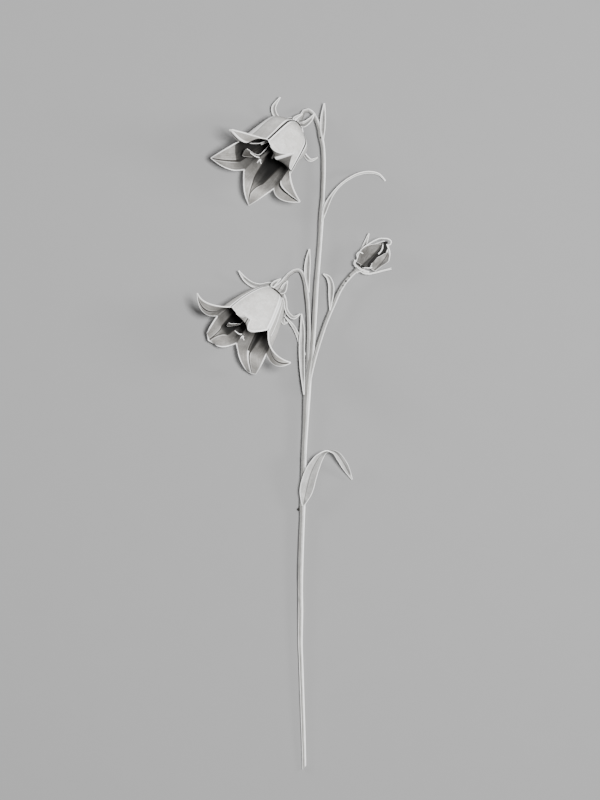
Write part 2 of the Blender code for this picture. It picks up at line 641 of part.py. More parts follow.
def corolla(name, bell, group):
    """Five petals joined edge to edge up to the notches, and free beyond them."""
    columns = 2 * len(SIDE_STEPS)
    total = TUBE_ROWS + LOBE_ROWS
    bm = bmesh.new()
    for number in range(5):
        lines = lobe_lines(bell, number)
        made = bmesh.ops.create_grid(bm, x_segments=columns, y_segments=total, size=1)["verts"]
        for vertex in made:
            column = round((vertex.co.x + 1) / 2 * columns)
            row = round((vertex.co.y + 1) / 2 * total)
            vertex.co = petal_point(bell, number, lines, column, row) * MM
    rest_on_surface(bm, soft=REST_DEPTH)
    bmesh.ops.remove_doubles(bm, verts=bm.verts, dist=0.00002)
    bmesh.ops.triangulate(bm, faces=bm.faces, quad_method="SHORT_EDGE")
    for face in bm.faces:
        face.smooth = True
    return thicken(mesh_object(name, bm, group), PETAL_THICK, 1)


def calyx(name, head, neck, widest, sepals, ring, group):
    """The ribbed receptacle under a flower, with its sepals grown from it."""
    start = (head.base - neck).normalized()
    seat = head.base - head.axis(0) * SEAT_GAP
    room = (seat - neck).length
    back = head.axis(0) * room
    knots = [neck + start * room * 0.12, neck + start * room * 0.3, seat - back * 0.36, seat - back * 0.12]
    radii = [1.4, 1.5, widest * 0.76, widest * 0.97]
    path = smooth([(*point, radius) for point, radius in zip(knots, radii)], 6)
    path = [(*neck, 1.35), *path, (*seat, widest)]
    body = tube(name, path, ring, group)
    blades = []
    for number, knots in enumerate(sepals):
        leaf = blade(f"{name} sepal {number}", knots, 7, 2, 0.3, SEPAL_THICK, group)
        blades.append(applied(leaf))
    return fuse(body, blades)


def radial_spine(head, angle, knots, rows, sink=0):
    """Rows for a strap that faces outward, from knots of distance along, radius and half width."""
    spine = []
    for along, radius, half in smooth(knots, rows):
        centre = head.place(along, angle, radius)
        side = (head.place(along, angle, radius, 1) - centre).normalized()
        outward = (head.place(along, angle, radius + 1) - centre).normalized()
        drop = Vector((0, 0, sink * (along / head.length) ** 2))
        spine.append((centre - drop, side, outward, half))
    return spine


def creased_sheet(name, net, rows, group):
    """A sheet with one sharp ridge, through rows of corners and smooth along its length."""
    last = len(net[0]) - 1
    bm = bmesh.new()
    bmesh.ops.create_grid(bm, x_segments=last, y_segments=rows, size=1)
    for vertex in bm.verts:
        column = round((vertex.co.x + 1) / 2 * last)
        line = [corners[column] for corners in net]
        vertex.co = Vector(point_on(line, (vertex.co.y + 1) / 2)) * MM
    bmesh.ops.triangulate(bm, faces=bm.faces, quad_method="SHORT_EDGE")
    return thicken(mesh_object(name, bm, group), SEPAL_THICK, 0)


def bud_corolla(name, head, group):
    """The closed flower: a pleated core with its petals, creased sheets and curled strips round it."""
    spokes = 20
    bm = bmesh.new()
    bmesh.ops.create_uvsphere(bm, u_segments=spokes, v_segments=10, radius=1)
    for vertex in bm.verts:
        share = math.acos(max(-1, min(1, -vertex.co.z))) / math.pi
        turn = math.degrees(math.atan2(vertex.co.y, vertex.co.x))
        spoke = round(turn / 360 * spokes) % 4
        pleat = (BUD_SEAM, 0.92, 1.0, 0.92)[spoke]
        radius = BUD_RADIUS * math.sin(math.pi * share ** 0.8) ** 0.75 * mix(1, pleat, ease(0, 0.3, share))
        angle = turn + BUD_TWIST * share
        radius *= 1 - BUD_FLAT * math.cos(math.radians(angle)) ** 2
        vertex.co = head.place(share * head.length, angle, radius) * MM
    bmesh.ops.recalc_face_normals(bm, faces=bm.faces)
    rest_on_surface(bm)
    core = mesh_object(name, bm, group)
    parts = []
    for number, (angle, knots) in enumerate(BUD_PETALS):
        spine = radial_spine(head, angle, knots, 8)
        parts.append(applied(strap(f"{name} petal {number}", spine, 4, -0.25, PETAL_THICK, group)))
    for number, net in enumerate(BUD_SHEETS):
        parts.append(applied(creased_sheet(f"{name} sheet {number}", net, 8, group)))
    for number, knots in enumerate(BUD_STRIPS):
        parts.append(applied(blade(f"{name} strip {number}", knots, 10, 2, 0.3, SEPAL_THICK, group)))
    return fuse(core, parts)


def pistil(name, head, style, ring, group):
    """The style, rising from the receptacle, with its spread stigma."""
    length, sideways, turns = style
    knots = [(0.0, 0), (length * 0.5, sideways * 0.4), (length, sideways)]
    path = []
    for along, offset in smooth(knots, 8):
        path.append((*head.place(along, 90, offset), STYLE_RADIUS))
    body = tube(name, path, ring, group)
    lobes = []
    for number, (turn, spread) in enumerate(turns):
        outward = head.place(length, turn, 1) - head.centre(length)
        root = head.place(length, 90, sideways) - head.axis(length) * 0.8
        middle = root + outward * spread * 0.45 + head.axis(length) * 1.6
        end = root + outward * spread + head.axis(length) * 1.7
        knots = [(*root, 0.4, 0), (*middle, 0.4, 0), (*end, 0.35, 0)]
        lobes.append(applied(blade(f"{name} lobe {number}", knots, 5, 2, 0.2, SEPAL_THICK, group)))
    return fuse(body, lobes)


def stamens(name, head, first, group):
    """Five flat filaments with their anthers, grown from a collar round the style's foot."""
    sides = 12
    bm = bmesh.new()
    bmesh.ops.create_grid(bm, x_segments=sides, y_segments=1, size=1)
    for vertex in bm.verts:
        along = COLLAR_LENGTH * (vertex.co.y + 1) / 2
        vertex.co = head.place(along, -180 * vertex.co.x, COLLAR_RADIUS) * MM
    bmesh.ops.remove_doubles(bm, verts=bm.verts, dist=0.00001)
    collar = applied(thicken(mesh_object(name, bm, group), SEPAL_THICK, -1))
    blades = []
    for number in range(5):
        spine = radial_spine(head, first + 72 * number, STAMENS, 6)
        blades.append(applied(strap(f"{name} filament {number}", spine, 2, 0.2, SEPAL_THICK, group)))
    for number, (angle, knots) in enumerate(ANTHERS[name]):
        spine = radial_spine(head, angle, knots, 12, ANTHER_SINK)
        blades.append(applied(strap(f"{name} anther {number}", spine, 2, -0.15, SEPAL_THICK, group)))
    return fuse(collar, blades)


def stalk_end(head, neck):
    """The last points of a stalk, in line with the receptacle and just short of it."""
    start = (head.base - neck).normalized()
    points = [neck - start * 2.4, neck - start * (SEAT_GAP + 0.6), neck - start * SEAT_GAP]
    return [(*point, 1.2) for point in points]


def cut_off(piece, point, facing):
    """Cut a piece flat across at a point and close the cut."""
    bm = bmesh.new()
    bm.from_mesh(piece.data)
    every = bm.verts[:] + bm.edges[:] + bm.faces[:]
    place = Vector(point) * MM
    cut = bmesh.ops.bisect_plane(bm, geom=every, plane_co=place, plane_no=facing, clear_outer=True)
    edges = [item for item in cut["geom_cut"] if isinstance(item, bmesh.types.BMEdge)]
    bmesh.ops.holes_fill(bm, edges=edges)
    bm.to_mesh(piece.data)
    bm.free()


def stem(ring, group):
    """The main stem and both side stalks, grown as one piece."""
    main = smooth(STEM, 2 * (len(STEM) - 1)) + stalk_end(UPPER_BELL, UPPER_NECK)
    lower = smooth(LOWER_BRANCH, 2 * (len(LOWER_BRANCH) - 1)) + stalk_end(LOWER_BELL, LOWER_NECK)
    side = smooth(BUD_BRANCH, 2 * (len(BUD_BRANCH) - 1)) + stalk_end(BUD, BUD_NECK)
    body = tube("stem", main, ring, group)
    cut_off(body, STEM_CUT, CUT_FACING)
    extras = [tube("lower stalk", lower, ring, group), tube("bud stalk", side, ring, group)]
    bm = bmesh.new()
    bmesh.ops.create_icosphere(bm, subdivisions=1, radius=LEAF_SCAR_SIZE * MM)
    bmesh.ops.translate(bm, verts=bm.verts, vec=Vector(LEAF_SCAR) * MM)
    extras.append(mesh_object("leaf scar", bm, group))
    return fuse(body, extras)


def build():
    clear_scene()
    flower = new_collection("campanula_flower_stem")
    guides = new_collection("guides")
    ring = ribbed_ring(guides)
    petals = new_material("petal", PETAL_COLOUR, 0.85)
    leaves = new_material("leaf", LEAF_COLOUR, 0.8)
    stalks = new_material("stem", STEM_COLOUR, 0.8)

    stem(ring, flower).data.materials.append(stalks)
    flowers = [
        corolla("upper_corolla", UPPER, flower),
        corolla("lower_corolla", LOWER, flower),
        bud_corolla("bud_corolla", BUD, flower),
        stamens("upper_stamens", UPPER_BELL, -55, flower),
        stamens("lower_stamens", LOWER_BELL, -70, flower),
    ]
    for piece in flowers:
        piece.data.materials.append(petals)
    stigma = new_material("stigma", STIGMA_COLOUR, 0.7)
    pistil("upper_pistil", UPPER_BELL, UPPER_STYLE, ring, flower).data.materials.append(stigma)
    pistil("lower_pistil", LOWER_BELL, LOWER_STYLE, ring, flower).data.materials.append(stigma)
    green = [
        calyx("upper_calyx", UPPER_BELL, UPPER_NECK, 3.3, UPPER_SEPALS, ring, flower),
        calyx("lower_calyx", LOWER_BELL, LOWER_NECK, 4.6, LOWER_SEPALS, ring, flower),
        calyx("bud_calyx", BUD, BUD_NECK, 2.8, BUD_SEPALS, ring, flower),
    ]
    for name, knots in LEAVES.items():
        green.append(blade(name, knots, 12, 4, 0.3, LEAF_THICK, flower))
    for piece in green:
        piece.data.materials.append(leaves)


build()
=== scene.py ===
"""A cut bellflower stem lying on a pale table: its finished petals, leaves, stalks and light."""

import math
from typing import NamedTuple

import bmesh
import bpy
from mathutils import Matrix, Vector


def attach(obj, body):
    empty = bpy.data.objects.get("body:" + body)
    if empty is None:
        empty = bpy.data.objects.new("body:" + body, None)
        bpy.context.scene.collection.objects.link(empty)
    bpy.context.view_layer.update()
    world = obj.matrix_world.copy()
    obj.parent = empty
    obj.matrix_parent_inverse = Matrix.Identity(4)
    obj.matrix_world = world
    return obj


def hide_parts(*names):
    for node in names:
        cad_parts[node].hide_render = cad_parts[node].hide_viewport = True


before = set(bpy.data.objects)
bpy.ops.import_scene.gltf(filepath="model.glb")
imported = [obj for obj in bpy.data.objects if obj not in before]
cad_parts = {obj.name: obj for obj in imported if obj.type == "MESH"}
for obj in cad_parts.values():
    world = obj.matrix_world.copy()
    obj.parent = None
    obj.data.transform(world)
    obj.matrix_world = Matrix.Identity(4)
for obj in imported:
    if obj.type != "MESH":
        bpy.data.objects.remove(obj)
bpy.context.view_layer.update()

MM = 0.001
PETAL_THICK = 0.55
LEAF_THICK = 0.5
SEPAL_THICK = 0.5

# Main stem from the cut end to the neck of the upper bell: x, y, z and radius.
STEM = [
    (5.4, -188, 1.05, 1.1), (5, -171, 1.5, 1.2), (4.6, -158, 1.8, 1.25), (4.1, -142, 2.1, 1.25),
    (3.5, -124, 2.3, 1.25), (3.2, -114, 2.4, 1.3), (3.3, -98, 2.6, 1.5), (3.2, -86, 2.7, 1.45),
    (3.2, -75.5, 2.8, 1.6), (3.7, -58.5, 3, 1.6), (4.2, -46.5, 3.1, 1.55), (4.3, -39.5, 3.2, 1.75),
    (4.7, -25.5, 3.4, 1.6), (5.2, -9, 3.6, 1.6), (5.8, 2, 3.7, 1.7), (6.3, 13, 3.8, 2),
    (6.8, 22.5, 3.9, 2.2), (7.6, 31, 4, 1.9), (9.3, 42.5, 4, 1.45), (10.3, 54.5, 4, 1.4),
    (11.2, 68.5, 4, 1.4), (12, 82, 4, 1.4), (13.2, 96.5, 4, 1.3), (14.1, 108.5, 4, 1.3),
    (14.6, 118.5, 4, 1.5), (15.3, 128.5, 4, 1.2), (15.8, 139.5, 4.1, 1.2), (15.9, 149.5, 4.2, 1.25),
    (15.5, 157, 4.3, 1.25), (14.5, 162.2, 4.4, 1.4), (13.3, 168, 4.4, 1.15), (11.8, 172.6, 4.3, 1.1),
    (10, 175.9, 4.2, 1.05), (7.7, 177.5, 4.2, 1.1),
]
LOWER_BRANCH = [
    (6.6, 20.5, 3.7, 1.1), (7, 28, 3.6, 1.3), (7.4, 40.5, 3.5, 1.3), (7.7, 56.5, 3.4, 1.25),
    (7.4, 68.5, 3.4, 1.2), (6.5, 78, 3.4, 1.3), (5.8, 83, 3.3, 1.2), (4.2, 87.6, 3.2, 1.1),
    (2.3, 89.6, 3, 1.1), (-0.4, 89.2, 2.7, 1.15),
]
BUD_BRANCH = [
    (7.2, 21.5, 3.9, 1.1), (8.4, 30.5, 4, 1.25), (10.8, 41, 4.2, 1.3), (13.8, 51, 4.4, 1.25),
    (17.2, 61, 4.6, 1.25), (21, 70, 4.9, 1.25), (24.6, 78, 5.2, 1.25), (27.6, 83, 5.5, 1.2),
]
STEM_CUT = (5.33, -183.72, 1.1)
CUT_FACING = (0.745, -0.667, 0)
LEAF_SCAR = (2.6, -41.5, 3.2)
# Small pits on the stalks, painted dark as the shade inside them: their places and sizes.
PITS = [
    ((14.2, 162.4, 5.6), 0.7), ((28.2, 83.6, 6.6), 0.8), ((30, 86.2, 7), 0.7), ((26.6, 81.2, 6.4), 0.6),
    ((24.9, 78.6, 6.3), 0.45), ((3.3, 171, 8.2), 1),
]
JOINT_GAP = 0.1


class Head:
    """A flower's own axes: its base, its axis seen from above, and the axis's rise at base and mouth."""

    def __init__(self, base, heading, rise_base, rise_mouth, length):
        self.base = Vector(base)
        self.heading = Vector((math.cos(math.radians(heading)), math.sin(math.radians(heading)), 0))
        self.across = Vector((-self.heading.y, self.heading.x, 0))
        self.rise_base = math.radians(rise_base)
        self.rise_mouth = math.radians(rise_mouth)
        self.length = length

    def rise(self, along):
        share = min(max(along / self.length, 0), 1)
        return self.rise_base + (self.rise_mouth - self.rise_base) * share

    def axis(self, along):
        rise = self.rise(along)
        return self.heading * math.cos(rise) + Vector((0, 0, math.sin(rise)))

    def top(self, along):
        rise = self.rise(along)
        return self.heading * -math.sin(rise) + Vector((0, 0, math.cos(rise)))

    def centre(self, along):
        """The point on the axis at a distance from the base; the axis bends as an arc."""
        bent = min(max(along, 0), self.length)
        turn = (self.rise_mouth - self.rise_base) / self.length
        end = self.rise_base + turn * bent
        forward = (math.sin(end) - math.sin(self.rise_base)) / turn
        upward = (math.cos(self.rise_base) - math.cos(end)) / turn
        point = self.base + self.heading * forward + Vector((0, 0, upward))
        return point + self.axis(along) * (along - bent)

    def place(self, along, angle, radius, sideways=0):
        """A point by its distance along the axis, its angle from the top and its radius."""
        turn = math.radians(angle)
        outward = self.top(along) * math.cos(turn) + self.across * math.sin(turn)
        around = self.across * math.cos(turn) - self.top(along) * math.sin(turn)
        return self.centre(along) + outward * radius + around * sideways


UPPER_BELL = Head((0.8, 169.1, 7.5), 227.4, 22, 40, 31.4)
LOWER_BELL = Head((-10.7, 76.7, 7.1), 228.2, 20, 36, 29.9)
BUD = Head((36.8, 91.6, 6.6), 44, 4, 8, 20)
UPPER_NECK = Vector((4.2, 174.8, 5.3))
LOWER_NECK = Vector((-4.6, 85.3, 3.7))
BUD_NECK = Vector((33.4, 88.9, 6.2))

# A bell's outline from base to the notches between its lobes: distance along, corner radius.
UPPER_PROFILE = [(0, 3.4), (2.4, 7.4), (7.4, 12.6), (14, 14.6), (22, 16), (31.4, 17.3)]
LOWER_PROFILE = [(0, 3.8), (1.6, 7.6), (6, 11.3), (14, 14.6), (22, 16.9), (29.9, 18.3)]
PANEL_BULGE = 0.11
SHOULDER_RUN = 15.5
NIB = 0.3
SEAM_DEPTH = 0.5
SEAM_WIDTH = 0.7
RIM_WIDTH = 0.8
REST_DEPTH = 0.5


class Seam(NamedTuple):
    """Where two petals meet: its angle at the base, its angle at the mouth, its radius at the mouth."""

    base: float
    mouth: float
    radius: float


UPPER_SEAMS = [
    Seam(-18.5, -17.8, 16), Seam(53.5, 64.2, 18.2), Seam(125.5, 127.8, 19.5), Seam(197.5, 194.3, 18),
    Seam(269.5, 262.9, 17.1),
]
LOWER_SEAMS = [
    Seam(-46, -56.1, 15.6), Seam(26, 36, 19), Seam(98, 98.4, 19.5), Seam(170, 170.2, 15),
    Seam(242, 244.8, 17.4),
]


class Lobe(NamedTuple):
    """The free end of one petal, between two seams.

    Its points are counted from the middle of the petal's edge at the mouth: past the mouth, outward
    and across. After the tip come the points that the fold and the two margins pass half-way. The
    face between the creases and the crest that it is centred on are shares of the petal's half
    width, at the mouth and deep inside. From open on, the values paint light and shade on its two halves.
    """

    tip: tuple
    fold: tuple
    near: tuple
    far: tuple
    face: tuple = (0.05, 0.05)
    crest: tuple = (0, 0)
    meet: float = 0.62
    blunt: float = 0
    back: float = 0
    shoulder: tuple = (0, 5)
    pleat: float = 0
    # painted light: how much more light each half is painted as getting, near and far
    open: tuple = (0, 0)
    # painted shade: how much darker the outside is where the petal faces away from the light
    tone: float = 1
    step: tuple = (0, 0)  # painted shade: the far half is darker up to this place, and by how much
    split: int = 0  # the half whose inner edge is free and gets a painted highlight: near -1, far 1
    gap: float = 0  # width of the painted shadow beside that edge
    rim: float = 0  # extra width of the painted highlight along the near seam
    strip: float = 0  # distance of a second painted shadow line from the far seam
    edge: bool = False  # a painted highlight along the fold
    # painted shade: how dark the inside of each half is, near and far
    shade: tuple = (1, 1)
    lift: float = 0  # painted light: how much brighter the lobe is at its root
    quiet: tuple = (0, 0)  # how far each seam's painted shadow line is held back
    ridge: float = 0  # the share of the half width where a painted highlight runs down the petal


UPPER_LOBES = [
    Lobe((3.4, 12, 0.5), (4.6, 0.2, -0.8), (2.8, 1.6, -4), (0.4, 3, 5.8), open=(-0.6, -0.5),
         strip=1.5, edge=True, shade=(0.6, 0.55)),
    Lobe((1.6, 12.7, -0.2), (4, 2, -1), (3.7, 4.4, -7.1), (4.1, 4.8, 6.4), crest=(0.1, 0.3),
         shoulder=(2.4, 4.5), pleat=2.4, open=(0.45, -0.1), tone=0.85, split=-1, gap=1.3,
         shade=(0.78, 0.85), lift=0.9),
    Lobe((4.8, 13.7, -0.9), (6, 2.9, 0.2), (6.3, 1.3, -7.5), (7.8, 2.8, 3.5), face=(0.27, 0.75),
         crest=(0, 0.12), open=(-0.1, -0.05)),
    Lobe((7.8, 12.1, 0.3), (6.6, 3.4, 0), (7.4, 2.1, -5.1), (7.1, 2.7, 7.8), crest=(-0.4, -0.9),
         open=(-0.1, 0), step=(1.12, 0.42), shade=(0.6, 0.95)),
    Lobe((12.2, 12.3, -0.5), (7, 1.4, 0), (5.8, 4.5, -6.4), (5.4, 5.4, 3.8), blunt=0.9,
         shoulder=(1.7, 11), open=(1.5, 1.5), tone=0.74, rim=6.5,
         edge=True, shade=(0.6, 0.6), lift=1.6),
]
LOWER_LOBES = [
    Lobe((4.6, 4.4, 1.3), (4.8, -1.1, 0.7), (3.4, -0.4, -4.9), (7.6, -1.6, 5), blunt=2,
         open=(0.3, 0.3), quiet=(0.48, 0.55)),
    Lobe((5, 16, 0), (7.7, 8.4, 0.5), (7.3, 5.9, -5.1), (7.5, 8.9, 4.8), open=(0.4, 0.3), tone=0.88,
         quiet=(0.55, 0), ridge=-0.525),
    Lobe((3.4, 12.3, -0.8), (3.6, 2.7, -0.3), (3.9, 2.4, -8.9), (5.3, 3.1, 4.4), face=(0.08, 0.35),
         crest=(0.15, 0.6), meet=0.3, blunt=2.6, back=0.9, open=(-0.05, 0.1), split=1,
         shade=(0.93, 0.7)),
    Lobe((5.5, 8.9, -0.4), (1.5, 2.1, 0.4), (5, 2.2, -7.1), (4.6, 2, 6.9), face=(0.3, 0.6),
         meet=1, blunt=3.6, back=2.4, open=(-0.1, -0.1), shade=(0.7, 0.82)),
    Lobe((4.8, 15, 0.1), (7.9, 5.8, -0.2), (7.8, 6, -3.3), (7.2, 7.6, 4.8), open=(0, 0.1), tone=0.9,
         shade=(0.86, 0.8), quiet=(0, 0.48)),
]

# Sepals: knots of x, y, z, half width and roll, from inside the receptacle to the tip.
UPPER_SEPALS = [
    [(2.3, 171, 6.4, 1.2, 0), (-1.6, 172.9, 4.8, 1.3, 60), (-6.2, 172.3, 3.8, 1.3, 60),
     (-9.9, 174.2, 4.2, 1.3, 30), (-11.4, 179, 5.2, 1.2, 0), (-7.8, 184.5, 6.4, 0.3, 0)],
    [(1.6, 171, 7.2, 0.7, 0), (-0.2, 172.4, 8.9, 0.7, 0), (1.3, 173.5, 9.4, 0.8, 0),
     (4.4, 175.2, 9, 0.3, 0)],
    [(2.4, 170.4, 7.6, 0.9, 0), (4.6, 169.4, 9.6, 1.6, 0), (6.9, 170.5, 9.8, 1.4, 0),
     (9.2, 172.6, 9.4, 1, 0), (10.8, 175.2, 8.6, 0.3, 0)],
    [(2.6, 170.5, 6.2, 1.1, 0), (3.7, 165.6, 2.7, 1.2, 40), (4.9, 159.6, 2.4, 1.1, 70),
     (5.4, 154, 2.4, 1.1, 60), (8.6, 150.2, 2.8, 0.9, 20), (12.8, 151.6, 3.6, 0.3, 0)],
    [(2.7, 171, 5.9, 1, 0), (5, 170.2, 3, 1.2, 0), (7.4, 171.2, 1.9, 1, 0),
     (9.8, 173.4, 1.4, 0.3, 0)],
]
LOWER_SEPALS = [
    [(-8.8, 79.2, 5.8, 1.3, 0), (-13.6, 81.8, 4.2, 1.6, 40), (-18.8, 81, 3.6, 1.5, 30),
     (-23.4, 82, 4.2, 1.4, 10), (-27.4, 85, 5.8, 1.1, 0), (-30.6, 89.4, 6.8, 0.3, 0)],
    [(-9.6, 78.8, 7, 0.9, 0), (-11.9, 81, 9.6, 1.1, 0), (-10.4, 82.8, 10.4, 1.1, 0),
     (-7.4, 84.8, 9.6, 0.3, 0)],
    [(-8.6, 78.9, 7.2, 0.9, 0), (-6.6, 78.2, 10.8, 1.7, 0), (-5.4, 80.6, 11.4, 1.5, 0),
     (-3.8, 83.7, 9.6, 0.3, 0)],
    [(-8.4, 78.6, 6, 1.2, 0), (-5.4, 73.8, 5.6, 1.2, -45), (-4.6, 68.6, 6, 1.1, -50),
     (-3, 65.4, 7, 1, -30), (-0.2, 63.6, 8, 0.9, 0), (3.2, 65.6, 8.6, 0.3, 0)],
    [(-8.6, 78.6, 5.2, 1.2, 0), (-5.8, 74.4, 2.4, 1.2, 0), (-5.9, 67, 1.8, 1.1, 0),
     (-6.2, 61, 1.8, 0.9, 0), (-3.7, 61.2, 2.4, 0.3, 0)],
]
BUD_SEPALS = [
    [(34.9, 91.4, 4.8, 0.9, 0), (36.6, 95.4, 2.2, 1.1, 0), (37.2, 100, 2, 1.2, 0),
     (38.7, 103.7, 3.2, 1.1, 0), (40.9, 109.9, 5, 0.3, 0)],
    [(34.6, 91.2, 6.6, 0.6, 0), (33.1, 92.8, 8, 0.5, 0), (33.2, 95.2, 8.8, 0.35, 0)],
    [(34.9, 90.6, 5.6, 0.8, 0), (39.5, 87.8, 4.6, 0.5, 0), (44.2, 88.3, 4, 0.4, 0),
     (49.1, 89.6, 4, 0.4, 0), (53.2, 90.6, 4, 0.5, 0)],
    [(35.7, 90, 6.2, 0.7, 0), (38.2, 88, 7.4, 0.5, 0), (40.8, 87.8, 7.8, 0.35, 0)],
    [(35.4, 90, 5.8, 0.9, 0), (36.6, 90, 2.2, 1, 0), (39, 91.6, 0.9, 0.35, 0)],
    [(33.3, 92.6, 6.8, 0.35, 0), (35.6, 90.6, 8.8, 0.5, 0), (38.4, 89.2, 8.6, 0.5, 0),
     (41, 88.6, 7.2, 0.3, 0)],
]

# Creased sheets of the bud as rows of corners, from its base to its top: left edge, ridge, right edge.
BUD_SHEETS = [
    [
        [(33.7, 94.4, 7), (37.2, 92.2, 10.6), (39.8, 91, 7.8)],
        [(34.6, 96.8, 7.5), (39, 94.2, 12.2), (41.9, 93.9, 8)],
        [(36.1, 100.4, 8), (42.1, 96.8, 12.8), (44, 96.5, 8.2)],
        [(39.7, 103.1, 8.8), (45.4, 100.5, 12.4), (46.6, 100.2, 9)],
        [(45.2, 103.9, 10.5), (47.8, 103.9, 11.6), (48.8, 104, 10.2)],
    ],
    [
        [(41.5, 90.7, 7), (43.4, 89.4, 8.2), (44.3, 89.1, 6)],
        [(42.4, 93.7, 8.2), (46.1, 92, 10.2), (47.9, 92, 5.5)],
        [(43.5, 95.5, 9.4), (48.5, 94.5, 11), (51.3, 94.2, 5.5)],
        [(47.2, 97.3, 9.8), (50.4, 97.5, 11), (52.1, 95.8, 6.5)],
        [(50.8, 99.4, 10), (51.3, 99.3, 10.4), (51.9, 98.1, 8.6)],
    ],
]
# Narrow curled strips of the bud: x, y, z, half width and roll.
BUD_STRIPS = [
    [
        (37.8, 102.1, 8.4, 0.35, 0), (41, 104.1, 9.6, 0.45, 0), (43.8, 105.7, 10.8, 0.45, 0),
        (46.5, 106.8, 11.4, 0.4, 0), (49, 106.9, 11.6, 0.4, 0), (51.4, 106.6, 11.4, 0.4, 0),
        (53, 105.3, 11, 0.4, 0), (52.5, 103.6, 10.6, 0.35, 0), (51, 103.2, 10.4, 0.35, 0),
    ],
    [
        (50.5, 103.8, 10.4, 0.35, 0), (51.3, 102, 10.8, 0.45, 0), (52.1, 100, 10.4, 0.45, 0),
        (52.3, 97.6, 9, 0.4, 0), (51.7, 95.4, 7.2, 0.35, 0),
    ],
    [
        (48.4, 103.8, 10.6, 0.35, 0), (48.1, 101.3, 11.2, 0.45, 0), (46.7, 99.1, 11, 0.45, 0),
        (44, 96.8, 8.6, 0.35, 0),
    ],
    [
        (34.7, 95.8, 7.4, 0.35, 0), (34.3, 98.2, 8.6, 0.4, 0), (35.7, 99.5, 9.6, 0.4, 0),
        (37.8, 98.5, 9.6, 0.35, 0),
    ],
]
BUD_PETALS = [
    (164, [(0.6, 0.9, 1), (3, 3.2, 2.4), (6.5, 4.5, 3.3), (11, 4.7, 3.6), (15, 3.8, 2.4),
           (18.5, 2.6, 0.9)]),
    (250, [(0.6, 0.9, 1), (3, 3.2, 2.4), (6.5, 4.4, 3), (11, 4.5, 3.2), (15, 3.6, 2.2),
           (18.4, 2.4, 0.9)]),
]
BUD_RADIUS = 4.7
BUD_SIDES = 80
BUD_ROWS = 24
BUD_FLAT = 0.3
# Painted light and shade of the bud's sheets: first side, ridge, second side; and the painted shade of its
# hidden petals.
BUD_SHEET_SHADES = ((0.44, 0.13, 0.13), (0.74, 0.08, 0.5))
BUD_PETAL_SHADE = 0.22
# Sides painted lighter than this get a painted highlight on their margins.
RIMMED_LIT_TONE = 0.2
BUD_TWIST = 28
STRIP_SHARE = 0.65
BUD_SEAM = 0.62

STYLE_RADIUS = 0.9
UPPER_STYLE = (32, -1.2, ((-98, 6.4), (178, 3.2), (125, 2.6)))
LOWER_STYLE = (33, 2.5, ((-95, 5), (178, 2.6), (118, 2.4)))
COLLAR_RADIUS = 2.1
COLLAR_LENGTH = 1.6
# Long stamens hang down a little towards their ends: angle, then knots of distance along, distance
# out and half width up to the anther.
ANTHER_SINK = 4.0
ANTHERS = {
    "upper_stamens": [
        (268, [(0.8, 1.8, 0.9), (8, 3, 0.8), (18, 3.2, 0.6), (29, 3, 0.45), (33, 5, 1.4),
               (35.2, 8.6, 3.1), (35.8, 10.2, 3.4)]),
        (283, [(0.8, 1.8, 0.9), (8, 3.8, 0.8), (16, 5.2, 0.6), (24.6, 7.2, 0.5), (28.4, 9.4, 0.45),
               (31, 11.4, 0.35)]),
    ],
    "lower_stamens": [
        (270, [(0.8, 1.8, 0.9), (8, 3, 0.8), (18, 3, 0.6), (27.6, 2.8, 0.45), (31, 4.8, 1.1),
               (33.6, 6.8, 1.6), (34.2, 7.8, 1.7)]),
    ],
}
STAMENS = [(0.8, 1.8, 1.2), (6, 3.4, 1.3), (12, 5.2, 0.7), (15, 6.4, 1.1), (20.5, 8.4, 0.4)]

